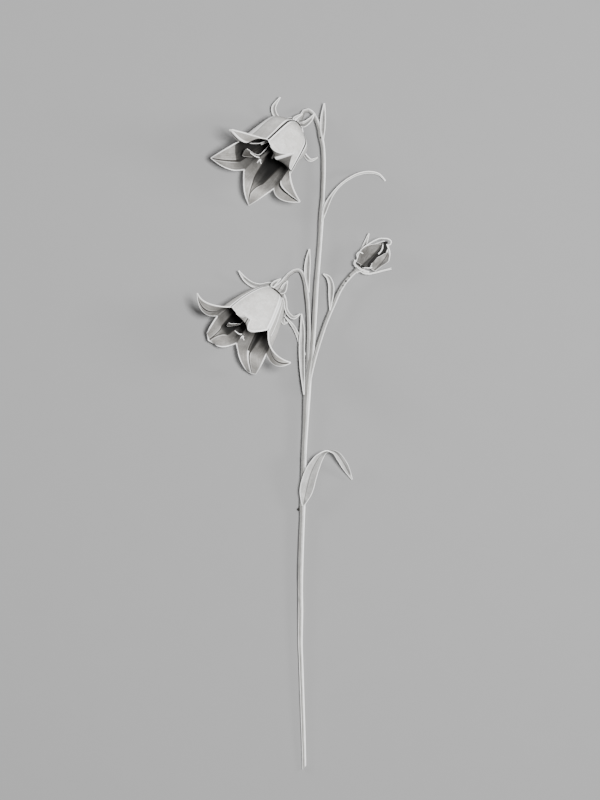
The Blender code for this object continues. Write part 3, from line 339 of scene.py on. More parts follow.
# Leaves: knots of x, y, z, half width and roll about the leaf's own length; then the fold.
LEAVES = {
    "big_leaf": (0.3, [
        (4.7, -39.8, 5.5, 0.6, 0), (6.3, -32, 6.6, 3.5, 0), (8.8, -22.5, 8.6, 3.7, 8),
        (12.6, -14.6, 10.6, 2.7, 20), (16.8, -10.2, 11.4, 1.5, 60), (20.6, -9.9, 10.8, 1.3, 115),
        (24, -12.4, 8.8, 1.9, 150), (28, -18.4, 5.2, 1.8, 165), (31.6, -25.2, 2, 0.3, 170),
    ]),
    "arching_leaf": (0.3, [
        (15.1, 116.2, 5.9, 0.4, 0), (17.2, 124.2, 6.3, 1.3, 15), (20.6, 130.8, 6.6, 0.9, 40),
        (24.8, 135.9, 6.8, 0.65, 50), (29.6, 139.6, 6.8, 0.65, 50), (35.2, 142.4, 6.2, 0.75, 50),
        (41.2, 143.4, 5, 0.75, 50), (46.4, 142.3, 3.6, 0.6, 50), (49.9, 138.8, 2.2, 0.3, 50),
    ]),
    "top_bract": (0.45, [
        (15.7, 161, 6.2, 0.3, 0), (15.4, 168, 6.7, 1.5, 0), (15.8, 174.6, 6.7, 1.3, 0),
        (16.4, 181.2, 6.6, 0.3, 0),
    ]),
    "lower_bract": (0.45, [
        (7.9, 77.4, 5.4, 0.3, 0), (7, 86.6, 5.7, 1.5, 0), (7.3, 94, 5.8, 1.5, 0),
        (8.2, 101.3, 5.8, 0.3, 0),
    ]),
    "bud_branch_leaf": (0.4, [
        (19.5, 67.6, 6.4, 0.3, 0), (20.1, 76.2, 6.8, 1.4, 0), (20.1, 81.4, 6.8, 1.5, 0),
        (18.6, 85.6, 6.6, 1.1, 0), (15.8, 87.6, 6, 0.3, 0),
    ]),
    "side_leaf": (0.4, [
        (5.2, 21.4, 6.4, 0.3, 0), (4.4, 34, 6, 1.3, 0), (4, 46, 5.6, 1.6, 0),
        (4.3, 57, 5.6, 1.3, 0), (3.9, 65.8, 5.4, 0.3, 0),
    ]),
    "narrow_leaf": (0.3, [
        (5.4, 43, 2.4, 0.9, 0), (3.4, 49, 2.4, 1, 0), (1.6, 54.4, 2.8, 0.9, 0),
        (-0.9, 59.2, 3.8, 0.8, 0), (-5.1, 64, 5.4, 0.3, 0),
    ]),
}

# The painted shadow in a seam, fold or pit, and the painted highlight of a rim that catches the light.
GAP_SHADOW_COLOUR = (0.02, 0.018, 0.016)
RIM_HIGHLIGHT_COLOUR = (0.98, 0.975, 0.965)

# The camera looks straight down on the stem from this place, in mm.
CAMERA_PLACE = (3.025, 18.425, 2444.4)
CAMERA_LENS = 200

# What each corner of a sheet remembers for the finishes to read, with lengths in mm: its place
# across and along, how far it is from the margin and the crease, how far out it lies, how much
# more painted light it gets, its painted tone of light and shade, how far it is from a second
# painted shadow line, and how dark its painted shade is.
MARKS = ("across", "along", "margin", "crease", "reach", "light", "tone", "line", "shade")
DEFAULTS = (0, 0, 9, 1, 0, 0, 1, 9, 1)


def smooth(knots, count):
    """Return count + 1 rows on a smooth curve through the knots."""
    rows = []
    for step in range(count + 1):
        rows.append(point_on(knots, step / count))
    return rows


def point_on(knots, share):
    last = len(knots) - 1
    place = share * last
    start = min(int(place), last - 1)
    four = [knots[max(start - 1, 0)], knots[start], knots[start + 1], knots[min(start + 2, last)]]
    return tuple(through(*values, place - start) for values in zip(*four))


def through(before, start, end, after, share):
    slope = end - before
    bend = 2 * before - 5 * start + 4 * end - after
    twist = 3 * start - before - 3 * end + after
    return 0.5 * (2 * start + (slope + (bend + twist * share) * share) * share)


def ease(low, high, value):
    share = min(max((value - low) / (high - low), 0), 1)
    return share * share * (3 - 2 * share)


def mix(first, second, share):
    return first + (second - first) * share


def new_sheet():
    """An empty mesh whose corners can carry the marks."""
    bm = bmesh.new()
    for mark in MARKS:
        bm.verts.layers.float.new(mark)
    return bm


def patch(bm, columns, rows, shape):
    """Add a grid to the mesh, with each corner placed and marked by shape(column, row)."""
    layers = [bm.verts.layers.float[mark] for mark in MARKS]
    made = bmesh.ops.create_grid(bm, x_segments=columns, y_segments=rows, size=1)["verts"]
    for vertex in made:
        column = round((vertex.co.x + 1) / 2 * columns)
        row = round((vertex.co.y + 1) / 2 * rows)
        point, marks = shape(column, row)
        vertex.co = point * MM
        for layer, value in zip(layers, marks + DEFAULTS[len(marks):]):
            vertex[layer] = value
    return made


def lie_flat(bm, height=0.0, soft=0.0):
    """Flatten what would lie below the table, or within the soft depth over it."""
    for vertex in bm.verts:
        if vertex.co.z < soft * MM:
            vertex.co.z = 0
        vertex.co.z = max(vertex.co.z, height * MM)


def piece_from(bm, name, finishes, wall=None, sharp=24):
    """Make the mesh an object, give it its wall, and shade it smooth but for its sharp folds."""
    data = bpy.data.meshes.new(name)
    bm.to_mesh(data)
    bm.free()
    for finish in finishes:
        data.materials.append(finish)
    piece = bpy.data.objects.new(name, data)
    bpy.context.scene.collection.objects.link(piece)
    if wall:
        thickness, side, inner, rim = wall
        made = piece.modifiers.new("wall", "SOLIDIFY")
        made.thickness = thickness * MM
        made.offset = side
        made.material_offset = inner
        made.material_offset_rim = rim
        made.use_even_offset = False
        evaluated = piece.evaluated_get(bpy.context.evaluated_depsgraph_get())
        mesh = bpy.data.meshes.new_from_object(evaluated)
        piece.modifiers.clear()
        piece.data = mesh
    piece.data.polygons.foreach_set("use_smooth", [True] * len(piece.data.polygons))
    piece.data.set_sharp_from_angle(angle=math.radians(sharp))
    return piece


def thin(bm, name, skin, thickness):
    """A piece with a skin on both sides of a thin wall, and a pale edge."""
    return piece_from(bm, name, [skin, EDGE], wall=(thickness, 0, 0, 1))


def solid(bm, name, skin):
    """A closed piece whose faces all look outward."""
    bmesh.ops.recalc_face_normals(bm, faces=bm.faces)
    return piece_from(bm, name, [skin], sharp=50)


def joined(name, pieces):
    """Gather finished pieces as one object."""
    bm = bmesh.new()
    finishes = []
    for piece in pieces:
        start = len(bm.faces)
        bm.from_mesh(piece.data)
        bm.faces.ensure_lookup_table()
        own = [finishes.index(m) if m in finishes else finishes.append(m) or len(finishes) - 1
               for m in piece.data.materials]
        for face in bm.faces[start:]:
            face.material_index = own[min(face.material_index, len(own) - 1)]
        bpy.data.objects.remove(piece, do_unlink=True)
    data = bpy.data.meshes.new(name)
    bm.to_mesh(data)
    bm.free()
    for finish in finishes:
        data.materials.append(finish)
    whole = bpy.data.objects.new(name, data)
    bpy.context.scene.collection.objects.link(whole)
    return whole


def stand_for(piece, node):
    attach(piece, "root")
    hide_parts(node)
    return piece


class Finish:
    """A matt surface under construction, with short calls for the nodes that it is made of."""

    def __init__(self, name, roughness=0.85):
        self.material = bpy.data.materials.new(name)
        self.material.use_nodes = True
        self.tree = self.material.node_tree
        self.surface = self.tree.nodes["Principled BSDF"]
        self.surface.inputs["Roughness"].default_value = roughness
        self.surface.inputs["Specular IOR Level"].default_value = 0.25

    def add(self, kind, values=(), **settings):
        node = self.tree.nodes.new("ShaderNode" + kind)
        for key, value in settings.items():
            setattr(node, key, value)
        for key, value in dict(values).items():
            self.put(node.inputs[key], value)
        return node

    def put(self, socket, value):
        if isinstance(value, bpy.types.NodeSocket):
            self.tree.links.new(value, socket)
        else:
            socket.default_value = value

    def mark(self, name):
        return self.add("Attribute", attribute_name=name).outputs["Fac"]

    def sum(self, operation, first, second=0.0):
        return self.add("Math", {0: first, 1: second}, operation=operation).outputs[0]

    def fall(self, value, start, end, high=1.0, low=0.0):
        """High up to start, easing to low at end."""
        values = {"Value": value, "From Min": start, "From Max": end, "To Min": high, "To Max": low}
        return self.add("MapRange", values, interpolation_type="SMOOTHSTEP").outputs["Result"]

    def blend(self, share, first, second, kind="MIX"):
        node = self.add("Mix", {"Factor": share}, data_type="RGBA", blend_type=kind)
        sockets = [socket for socket in node.inputs if socket.type == "RGBA"]
        for socket, value in zip(sockets, (first, second)):
            self.put(socket, value if isinstance(value, bpy.types.NodeSocket) else (*value, 1))
        return [socket for socket in node.outputs if socket.type == "RGBA"][0]

    def speckle(self, scale, detail=3.0, stretch=(1, 1, 1), vector=None):
        if vector is None:
            vector = self.add("TexCoord").outputs["Object"]
        placed = self.add("Mapping", {"Vector": vector, "Scale": stretch}).outputs[0]
        return self.add("TexNoise", {"Vector": placed, "Scale": scale, "Detail": detail}).outputs["Fac"]

    def fibres(self, stretch):
        """Streaks that follow the sheet, from its measures across and along it in mm."""
        values = {"X": self.mark("across"), "Y": self.mark("along")}
        return self.speckle(1.0, 3.0, stretch, self.add("CombineXYZ", values).outputs[0])

    def dim(self, colour, value):
        """The colour darkened by the value."""
        shade = self.add("CombineColor", {"Red": value, "Green": value, "Blue": value}).outputs[0]
        return self.blend(1.0, colour, shade, "MULTIPLY")

    def done(self, colour, height=None, strength=0.5, distance=0.15):
        self.put(self.surface.inputs["Base Color"], colour)
        if height is not None:
            bump = self.add("Bump", {"Height": height, "Strength": strength, "Distance": distance * MM})
            self.put(self.surface.inputs["Normal"], bump.outputs[0])
        return self.material


def grainy(finish, light, dark):
    """Pale tissue with soft mottling and a fine paper-like grain; returns colour and height."""
    mottle = finish.fall(finish.speckle(230, 4), 0.35, 0.65)
    colour = finish.blend(mottle, light, dark)
    spots = finish.fall(finish.speckle(900, 2), 0.35, 0.65, 1.0, 0.9)
    colour = finish.dim(colour, spots)
    grain = finish.speckle(2600, 2)
    shade = finish.fall(grain, 0.3, 0.7, 1.0, 0.86)
    colour = finish.dim(colour, shade)
    return colour, grain


def petal_outside():
    finish = Finish("petal outside", 0.82)
    colour, grain = grainy(finish, (0.80, 0.79, 0.765), (0.70, 0.685, 0.655))
    veins = finish.fall(finish.fibres((1.6, 0.09, 1)), 0.35, 0.65, 1, 0.95)
    colour = finish.dim(colour, veins)
    # Painted shade: each petal's outside is darker as far as it faces away from the light.
    colour = finish.dim(colour, finish.mark("tone"))
    margin = finish.mark("margin")
    tube = finish.fall(finish.mark("reach"), 0.98, 1.02)
    inward = finish.sum("SUBTRACT", margin, finish.sum("MULTIPLY", tube, 0.35))
    # Painted shade in a band inside the rim, and a painted highlight on the rim itself.
    beside = finish.fall(inward, 1.0, 3.2, 0.86, 1.0)
    colour = finish.dim(colour, beside)
    edge = finish.fall(inward, 0.8, 1.0)
    colour = finish.blend(edge, colour, RIM_HIGHLIGHT_COLOUR)
    # Painted shadow: a second dark line beside the far seam, and a dark line in each seam.
    second = finish.sum("MULTIPLY", finish.fall(finish.mark("line"), 0.1, 0.3), 0.85)
    colour = finish.blend(finish.sum("MULTIPLY", second, tube), colour, (0.05, 0.047, 0.043))
    seam = finish.sum("MULTIPLY", finish.fall(margin, 0.42, 0.62), tube)
    colour = finish.blend(seam, colour, GAP_SHADOW_COLOUR)
    return finish.done(colour, grain, 0.35, 0.12)


def petal_inside():
    finish = Finish("petal inside", 0.88)
    colour, grain = grainy(finish, (0.50, 0.485, 0.46), (0.38, 0.365, 0.34))
    reach = finish.mark("reach")
    crease = finish.mark("crease")
    margin = finish.mark("margin")
    veins = finish.fall(finish.fibres((1.3, 0.07, 1)), 0.3, 0.7, 1, 0.8)
    colour = finish.dim(colour, veins)
    # Painted shade: darker deep in the throat and most between the creases, less where the petal is marked as
    # lit.
    seen = finish.sum("ADD", reach, finish.mark("light"))
    sides = finish.fall(seen, 0.42, 1.4, 0.03, 1.0)
    middle = finish.fall(seen, 0.72, 1.55, 0.015, 0.85)
    inner = finish.fall(crease, -0.12, 0.12, 1.0, 0.0)
    depth = finish.add("Mix", {"Factor": inner, "A": sides, "B": middle}).outputs["Result"]
    depth = finish.sum("MULTIPLY", depth, finish.fall(seen, 2.3, 3.1, 1.0, 1.4))
    depth = finish.sum("MULTIPLY", depth, finish.mark("shade"))
    colour = finish.dim(colour, depth)
    # Painted shadow along the creases, and the glint, a painted highlight, beside them.
    line = finish.fall(finish.sum("ABSOLUTE", crease), 0.22, 0.5)
    colour = finish.blend(finish.sum("MULTIPLY", line, 0.85), colour, GAP_SHADOW_COLOUR)
    glint = finish.fall(finish.sum("ABSOLUTE", finish.sum("SUBTRACT", crease, 0.75)), 0.1, 0.28, 0.4, 0.0)
    glint = finish.sum("MULTIPLY", glint, finish.fall(seen, 0.9, 1.2, 0.0, 1.0))
    colour = finish.blend(glint, colour, (0.85, 0.84, 0.82))
    # Painted highlight on the free margins past the mouth.
    rim = finish.sum("MULTIPLY", finish.fall(margin, 0.45, 0.7), finish.fall(reach, 0.97, 1.02, 0.0, 1.0))
    colour = finish.blend(rim, colour, (0.95, 0.945, 0.93))
    return finish.done(colour, grain, 0.35, 0.12)


def bud_skin():
    finish = Finish("bud skin", 0.85)
    colour, grain = grainy(finish, (0.58, 0.565, 0.54), (0.36, 0.345, 0.32))
    veins = finish.fall(finish.fibres((1.1, 0.12, 1)), 0.3, 0.7, 1, 0.6)
    colour = finish.dim(colour, veins)
    # Painted light and shade on each side of a sheet, and a painted highlight on the margins of its lit
    # sides.
    colour = finish.dim(colour, finish.mark("tone"))
    rim = finish.fall(finish.mark("margin"), 0.3, 0.55)
    colour = finish.blend(rim, colour, (0.92, 0.91, 0.89))
    return finish.done(colour, grain, 0.4, 0.15)


def petal_edge():
    finish = Finish("petal edge", 0.7)
    grain = finish.speckle(1800, 2)
    colour = finish.blend(grain, (0.95, 0.94, 0.92), (0.86, 0.85, 0.83))
    return finish.done(colour, grain, 0.2, 0.08)


def leaf_surface():
    """A leaf's halves painted lit and shaded, with a painted shadow on the fold and painted highlights at the
    margins.
    """
    finish = Finish("leaf", 0.8)
    colour, grain = grainy(finish, (0.60, 0.595, 0.58), (0.48, 0.475, 0.46))
    across = finish.mark("across")
    margin = finish.mark("margin")
    width = finish.sum("ADD", margin, finish.sum("ABSOLUTE", across))
    shaded = finish.fall(width, 0.8, 1.1, 0.95, finish.fall(width, 1.7, 2.4, 0.45, 0.68))
    half = finish.fall(across, -0.1, 0.1, 1.0, shaded)
    colour = finish.dim(colour, half)
    veins = finish.fall(finish.fibres((2.2, 0.05, 1)), 0.35, 0.65, 1, 0.8)
    colour = finish.dim(colour, veins)
    # Painted shadow along the fold.
    rib = finish.fall(finish.sum("ABSOLUTE", across), 0.1, 0.38)
    rib = finish.sum("MULTIPLY", rib, finish.fall(width, 0.8, 1.1, 0.0, 0.75))
    colour = finish.blend(rib, colour, (0.07, 0.068, 0.064))
    # Painted highlight on the margins.
    rim = finish.fall(margin, 0.12, 0.36)
    colour = finish.blend(rim, colour, (0.93, 0.93, 0.91))
    return finish.done(colour, grain, 0.35, 0.12)


def stalk_surface():
    """A ribbed stalk with fine fibres, painted pale on its right side and dark on its left as light and
    shade.
    """
    finish = Finish("stalk", 0.78)
    colour, grain = grainy(finish, (0.64, 0.635, 0.62), (0.54, 0.535, 0.515))
    fibres = finish.fibres((2.4, 0.12, 1))
    streaks = finish.fall(fibres, 0.35, 0.68, 1.0, 0.72)
    colour = finish.dim(colour, streaks)
    # Painted light and shade round the stalk, pale on both sides low down, with a dark line where they meet.
    side = finish.sum("ADD", finish.mark("light"), finish.sum("MULTIPLY", fibres, 0.22))
    where = finish.add("TexCoord").outputs["Object"]
    low = finish.fall(finish.add("SeparateXYZ", {"Vector": where}).outputs["Y"], -0.11, -0.07)
    both = finish.sum("MULTIPLY", finish.sum("ABSOLUTE", side), 1.25)
    side = finish.add("Mix", {"Factor": low, "A": side, "B": both}).outputs["Result"]
    shade = finish.fall(side, -0.6, 0.2, 0.42, 1.0)
    line = finish.fall(finish.sum("ABSOLUTE", finish.sum("ADD", side, -0.12)), 0.02, 0.16, 0.55, 1.0)
    colour = finish.dim(colour, line)
    colour = finish.dim(colour, shade)
    # Painted shade in the grooves between the ribs.
    groove = finish.fall(finish.mark("crease"), 0.35, 0.95, 0.0, 1.0)
    colour = finish.blend(finish.sum("MULTIPLY", groove, 0.7), colour, (0.14, 0.135, 0.125))
    # Painted highlight along the right side.
    edge = finish.fall(side, 0.6, 0.85, 0.0, 1.0)
    colour = finish.blend(edge, colour, RIM_HIGHLIGHT_COLOUR)
    # Painted shadow at a seated end, where the cup meets the petals.
    foot = finish.fall(finish.mark("margin"), 0.3, 0.55)
    colour = finish.blend(foot, colour, GAP_SHADOW_COLOUR)
    # Painted shade inside the small pits on the stalks.
    for place, size in PITS:
        gap = finish.add("VectorMath", {0: where, 1: [value * MM for value in place]}, operation="DISTANCE")
        pit = finish.fall(gap.outputs["Value"], size * 0.6 * MM, size * MM)
        colour = finish.blend(finish.sum("MULTIPLY", pit, 0.9), colour, GAP_SHADOW_COLOUR)
    return finish.done(colour, fibres, 0.6, 0.25)


def anther_surface():
    finish = Finish("anther", 0.85)
    # Painted shade: dark as it lies in the shade of the throat, with a painted highlight on its rim.
    colour, grain = grainy(finish, (0.13, 0.125, 0.118), (0.07, 0.066, 0.06))
    rim = finish.fall(finish.mark("margin"), 0.1, 0.3)
    colour = finish.blend(rim, colour, (0.5, 0.49, 0.47))
    return finish.done(colour, grain, 0.3, 0.1)


def stigma_surface():
    finish = Finish("stigma", 0.6)
    grain = finish.speckle(2400, 3)
    colour = finish.blend(grain, (0.95, 0.94, 0.92), (0.72, 0.71, 0.69))
    return finish.done(colour, grain, 0.8, 0.2)


def style_surface():
    """Painted shade: dark where it stands in the throat, paler towards the stigma."""
    finish = Finish("style", 0.8)
    grain = finish.speckle(1500, 3)
    share = finish.fall(finish.mark("reach"), 0.7, 1.0, 0.0, 1.0)
    colour = finish.blend(share, (0.03, 0.028, 0.026), (0.14, 0.135, 0.128))
    colour = finish.dim(colour, finish.fall(grain, 0.3, 0.7, 1.0, 0.7))
    return finish.done(colour, grain, 0.5, 0.15)


def table_surface():
    finish = Finish("table", 0.9)
    colour = finish.blend(finish.speckle(60, 2), (0.25, 0.25, 0.25), (0.243, 0.243, 0.243))
    return finish.done(colour)


OUTSIDE = petal_outside()
INSIDE = petal_inside()
EDGE = petal_edge()
BUD_SKIN = bud_skin()
LEAF = leaf_surface()
STALK = stalk_surface()
STIGMA = stigma_surface()
STYLE = style_surface()
ANTHER = anther_surface()

TUBE_ROWS = 30
LOBE_ROWS = 36
SIDE_STEPS = (0, 0.05, 0.1, 0.22, 0.36, 0.5, 0.64, 0.76, 0.86, 0.92, 0.96, 1)
MIDDLE_STEPS = (0, 0.2, 0.4, 0.6, 0.8, 0.93)
HALF_STEPS = len(SIDE_STEPS) + len(MIDDLE_STEPS) - 1


class Bell(NamedTuple):
    """An open flower: its axes, its outline, its seams and its lobes."""

    head: Head
    profile: list
    seams: list
    lobes: list


UPPER = Bell(UPPER_BELL, UPPER_PROFILE, UPPER_SEAMS, UPPER_LOBES)
LOWER = Bell(LOWER_BELL, LOWER_PROFILE, LOWER_SEAMS, LOWER_LOBES)


def crease_at(lobe, place):
    """How far from its fold a petal's creases lie; place runs from 0 at the base to 2 at the tip."""
    mouth, inside = lobe.face
    if place <= 1:
        return mix(inside, mouth, max(0, place * 2 - 1))
    return max(mouth * (1 - (place - 1) / lobe.meet), 0.04)


def crest_at(lobe, place):
    """Which line of the petal its fold follows, from the deep part out to the mouth."""
    mouth, inside = lobe.crest
    return mix(inside, mouth, max(0, place * 2 - 1))


def petal_share(column, crease):
    """A petal's columns lie closest at its margins and on both sides of its creases."""
    side = column - HALF_STEPS
    step = abs(side)
    if step < len(MIDDLE_STEPS):
        share = crease * MIDDLE_STEPS[step]
    else:
        share = mix(crease, 1, SIDE_STEPS[step - len(MIDDLE_STEPS)])
    return math.copysign(share, side)


def edge_at(bell, number, along, corner):
    """The middle, half length and outward direction of the line between a petal's two seams."""
    ends = []
    share = min(along / bell.head.length, 1)
    for turn in (number, number + 1):
        seam = bell.seams[turn % 5]
        angle = mix(seam.base, seam.mouth, share) + 360 * (turn // 5)
        radius = corner * mix(1, seam.radius / bell.profile[-1][1], share)
        ends.append(bell.head.place(along, angle, radius))
    half = (ends[1] - ends[0]) / 2
    outward = bell.head.axis(along).cross(half).normalized()
    return (ends[0] + ends[1]) / 2, half, outward


def pleat_at(lobe, share):
    """How much of its pleat a petal has at one column: most at its crest, none at its seams."""
    crest = lobe.crest[0]
    if share < crest:
        return max(0, 1 - (crest - share) / 0.7)
    return (1 - share) / (1 - crest)


def tube_point(bell, number, share, level):
    """A point of a petal below the notches, with the level from 0 at the base to 1 at the mouth."""
    along, corner = point_on(bell.profile, level)
    middle, half, outward = edge_at(bell, number, along, corner)
    lobe = bell.lobes[number]
    height, peak = lobe.shoulder
    shoulder = height * ease(0, peak, along) * (1 - ease(peak, peak + SHOULDER_RUN, along))
    rise = (corner * PANEL_BULGE + shoulder) * (1 - share * share)
    pleat = lobe.pleat * ease(0.5, 1, level) * pleat_at(lobe, share)
    point = middle + half * share + outward * (rise - pleat)
    margin = (1 - abs(share)) * half.length
    groove = SEAM_DEPTH * max(0, 1 - margin / SEAM_WIDTH) * mix(0.5, 1, level)
    return point + (bell.head.centre(along) - point).normalized() * groove


def halfway(start, middle, end, share):
    """A curve from start to end that passes the middle at half its run."""
    knee = middle * 2 - (start + end) / 2
    return start * (1 - share) ** 2 + knee * 2 * share * (1 - share) + end * share ** 2


def lobe_lines(bell, number):
    """The fold and the two margins of a lobe as start, middle and end points."""
    lobe = bell.lobes[number]
    along, corner = bell.profile[-1]
    middle, half, outward = edge_at(bell, number, along, corner)
    across = half.normalized()
    origin = middle + outward * corner * PANEL_BULGE
    forward = bell.head.axis(along)

    def spot(place):
        return origin + forward * place[0] + outward * place[1] + across * place[2]

    tip = spot(lobe.tip)
    run = (tip - spot(lobe.fold)).normalized()
    end = tip - run * lobe.back
    aside = across * (NIB + lobe.blunt)
    fold = tube_point(bell, number, lobe.crest[0], 1), spot(lobe.fold), tip
    near = tube_point(bell, number, -1, 1), spot(lobe.near), end - aside
    far = tube_point(bell, number, 1, 1), spot(lobe.far), end + aside
    return across, fold, near, far


def facet(lines, lobe, share, reach):
    """A point of the folded lobe: flat between its creases, then straight out to each margin."""
    across, fold, near, far = lines
    middle = halfway(*fold, reach)
    out = halfway(*(near if share < 0 else far), reach) - middle
    level = across * out.dot(across)
    crease = crease_at(lobe, 1 + reach)
    lift = max(0, (abs(share) - crease) / (1 - crease))
    return middle + level * abs(share) + (out - level) * lift, out.length


def petal_point(bell, number, lines, column, row):
    lobe = bell.lobes[number]
    place = row / TUBE_ROWS if row <= TUBE_ROWS else 1 + (row - TUBE_ROWS) / LOBE_ROWS
    level = min(place, 1)
    reach = place - level
    crease = crease_at(lobe, place)
    share = petal_share(column, crease)
    seat = mix(crest_at(lobe, level), math.copysign(1, share), abs(share))
    point = tube_point(bell, number, seat, level)
    along, corner = point_on(bell.profile, level)
    width = corner * 0.6
    if reach > 0:
        shape, width = facet(lines, lobe, share, reach)
        start = facet(lines, lobe, share, 0)[0]
        point = shape + (point - start) * (1 - ease(0, 0.35, reach))
        along += reach * 15
    margin = (1 - abs(share)) * width
    if reach > 0:
        margin = min(margin, (1 - reach) * 15)
    crease = (abs(share) - crease) * width
    marks = petal_marks(lobe, share, margin, crease, place, width)
    return point, (share * width, along, *marks)


def petal_marks(lobe, share, margin, crease, place, width):
    """What the finishes read at one corner of a petal, where place passes 1 at the mouth: its painted light
    and shade.
    """
    light = lobe.open[0] if share < 0 else lobe.open[1]
    line = 9
    if place < lobe.step[0] and share > 0:
        light -= lobe.step[1]
    if place > 1 and lobe.split * share > 0:
        margin = min(margin, max(crease, 0))
    if lobe.gap and lobe.split * share < 0:
        light -= 1.3 * (1 - ease(0.7 * lobe.gap, lobe.gap, crease))
    if share < 0 and place < 1:
        margin = max(min(margin, RIM_WIDTH), margin - lobe.rim)
    if place < 1:
        margin = max(margin, lobe.quiet[0] if share < 0 else lobe.quiet[1])
    if place < 1 and lobe.ridge:
        margin = min(margin, abs(share - lobe.ridge) * width + RIM_WIDTH)
    if share > 0 and place < 1 and lobe.strip:
        line = abs(margin - lobe.strip)
    if place > 1 and lobe.edge:
        margin = min(margin, max(crease, 0))
    shade = lobe.shade[0] if share < 0 else lobe.shade[1]
    shade *= 1 + lobe.lift * (1 - ease(1.0, 1.5, place))
    return margin, crease, place, light, lobe.tone, line, shade


def corolla(name, bell):
    """Five petals joined edge to edge up to the notches, and free beyond them."""
    bm = new_sheet()
    for number in range(5):
        lines = lobe_lines(bell, number)
        patch(bm, 2 * HALF_STEPS, TUBE_ROWS + LOBE_ROWS,
              lambda column, row: petal_point(bell, number, lines, column, row))
    lie_flat(bm, soft=REST_DEPTH)
    bmesh.ops.remove_doubles(bm, verts=bm.verts, dist=0.00002)
    piece = piece_from(bm, name, [INSIDE, OUTSIDE, EDGE], wall=(PETAL_THICK, 1, 1, 2))
    return stand_for(piece, name.replace("_petals", "_corolla"))


def blade(bm, knots, rows, columns, fold, waves=0.0):
    """Add a strap folded along its middle, from knots of x, y, z, half width and roll."""
    stations = smooth(knots, rows)
    spine = []
    along = 0.0
    for row, (x, y, z, half, roll) in enumerate(stations):
        ahead, side, face = frame_at(stations, row)
        turn = Matrix.Rotation(math.radians(roll), 3, ahead)
        here = Vector((x, y, z))
        along += (here - spine[-1][0]).length if spine else 0
        spine.append((here, turn @ side, turn @ face, half, along))
    strap(bm, spine, columns, fold, waves)


def strap(bm, spine, columns, fold, waves=0.0, tone=1.0):
    def shape(column, row):
        share = column / columns * 2 - 1
        centre, side, face, half, along = spine[row]
        ripple = waves * half * math.sin(along * 1.1 + share) * share * share
        lift = ripple - (1 - abs(share)) * half * fold
        margin = (1 - abs(share)) * half
        marks = (share * half, along, margin, 0, row, 0, tone)
        return centre + side * share * half + face * lift, marks

    patch(bm, columns, len(spine) - 1, shape)


def frame_at(stations, row):
    """A strap's direction, its level side direction and its upward face at one station."""
    before = Vector(stations[max(row - 1, 0)][:3])
    after = Vector(stations[min(row + 1, len(stations) - 1)][:3])
    along = (after - before).normalized()
    side = along.cross(Vector((0, 0, 1))).normalized()
    return along, side, side.cross(along)


def leaf(name, fold, knots):
    bm = new_sheet()
    blade(bm, knots, 60, 12, fold, 0.05)
    lie_flat(bm, LEAF_THICK / 2)
    return stand_for(thin(bm, name + "_blade", LEAF, LEAF_THICK), name)


def stalk(bm, path, sides, ribs, depth, spin=0.0, seated=False):
    """Add a closed ribbed tube along rows of x, y, z and radius."""
    rows = len(path) - 1
    lengths = [0.0]
    for before, after in zip(path, path[1:]):
        lengths.append(lengths[-1] + (Vector(after[:3]) - Vector(before[:3])).length)

    def shape(column, row):
        step = min(max(row - 1, 0), rows)
        x, y, z, radius = path[step]
        ahead, side, face = frame_at(path, step)
        turn = column / sides * 2 * math.pi
        groove = 0.5 - 0.5 * math.cos(ribs * turn + spin)
        size = 0 if row in (0, rows + 2) else radius * (1 - depth * groove)
        point = Vector((x, y, z)) + (side * math.cos(turn) + face * math.sin(turn)) * size
        margin = lengths[-1] - lengths[step] if seated else 9
        return point, (turn * radius, lengths[step], margin, groove, step / rows, math.cos(turn), 1)

    made = patch(bm, sides, rows + 2, shape)
    bmesh.ops.remove_doubles(bm, verts=made, dist=0.000004)


def stalk_end(head, neck):
    """The last points of a stalk, in line with the receptacle and just short of it."""
    start = (head.base - neck).normalized()
    points = [neck - start * 2.4, neck - start * (JOINT_GAP + 0.6), neck - start * JOINT_GAP]
    return [(*point, 1.2) for point in points]


def stem():
    """The main stem and both side stalks."""
    bm = new_sheet()
    main = smooth(STEM, 5 * (len(STEM) - 1)) + stalk_end(UPPER_BELL, UPPER_NECK)
    stalk(bm, main, 30, 5, 0.22)
    every = bm.verts[:] + bm.edges[:] + bm.faces[:]
    place = Vector(STEM_CUT) * MM
    cut = bmesh.ops.bisect_plane(bm, geom=every, plane_co=place, plane_no=CUT_FACING, clear_outer=True)
    bmesh.ops.holes_fill(bm, edges=[item for item in cut["geom_cut"] if isinstance(item, bmesh.types.BMEdge)])
    lower = smooth(LOWER_BRANCH, 5 * (len(LOWER_BRANCH) - 1)) + stalk_end(LOWER_BELL, LOWER_NECK)
    stalk(bm, lower, 30, 5, 0.22, 1.0)
    side = smooth(BUD_BRANCH, 5 * (len(BUD_BRANCH) - 1)) + stalk_end(BUD, BUD_NECK)
    stalk(bm, side, 30, 5, 0.2, 2.0)
    scar = bmesh.ops.create_icosphere(bm, subdivisions=3, radius=0.9 * MM)["verts"]
    bmesh.ops.translate(bm, verts=scar, vec=Vector(LEAF_SCAR) * MM)
    lie_flat(bm)
    return stand_for(solid(bm, "stem_stalks", STALK), "stem")


def receptacle(bm, head, neck, widest):
    """The ribbed cup under a flower, closed flat against the petals."""
    start = (head.base - neck).normalized()
    seat = head.base - head.axis(0) * 0.3
    room = (seat - neck).length
    back = head.axis(0) * room
    knots = [neck + start * room * 0.12, neck + start * room * 0.3, seat - back * 0.36, seat - back * 0.12]
    radii = [1.4, 1.5, widest * 0.76, widest * 0.97]
    path = smooth([(*point, radius) for point, radius in zip(knots, radii)], 18)
    rim = [(*(seat - head.axis(0) * step), widest) for step in (0.5, 0.3, 0)]
    path = [(*neck, 1.35), *path, *rim]
    stalk(bm, path, 50, 10, 0.12, seated=True)


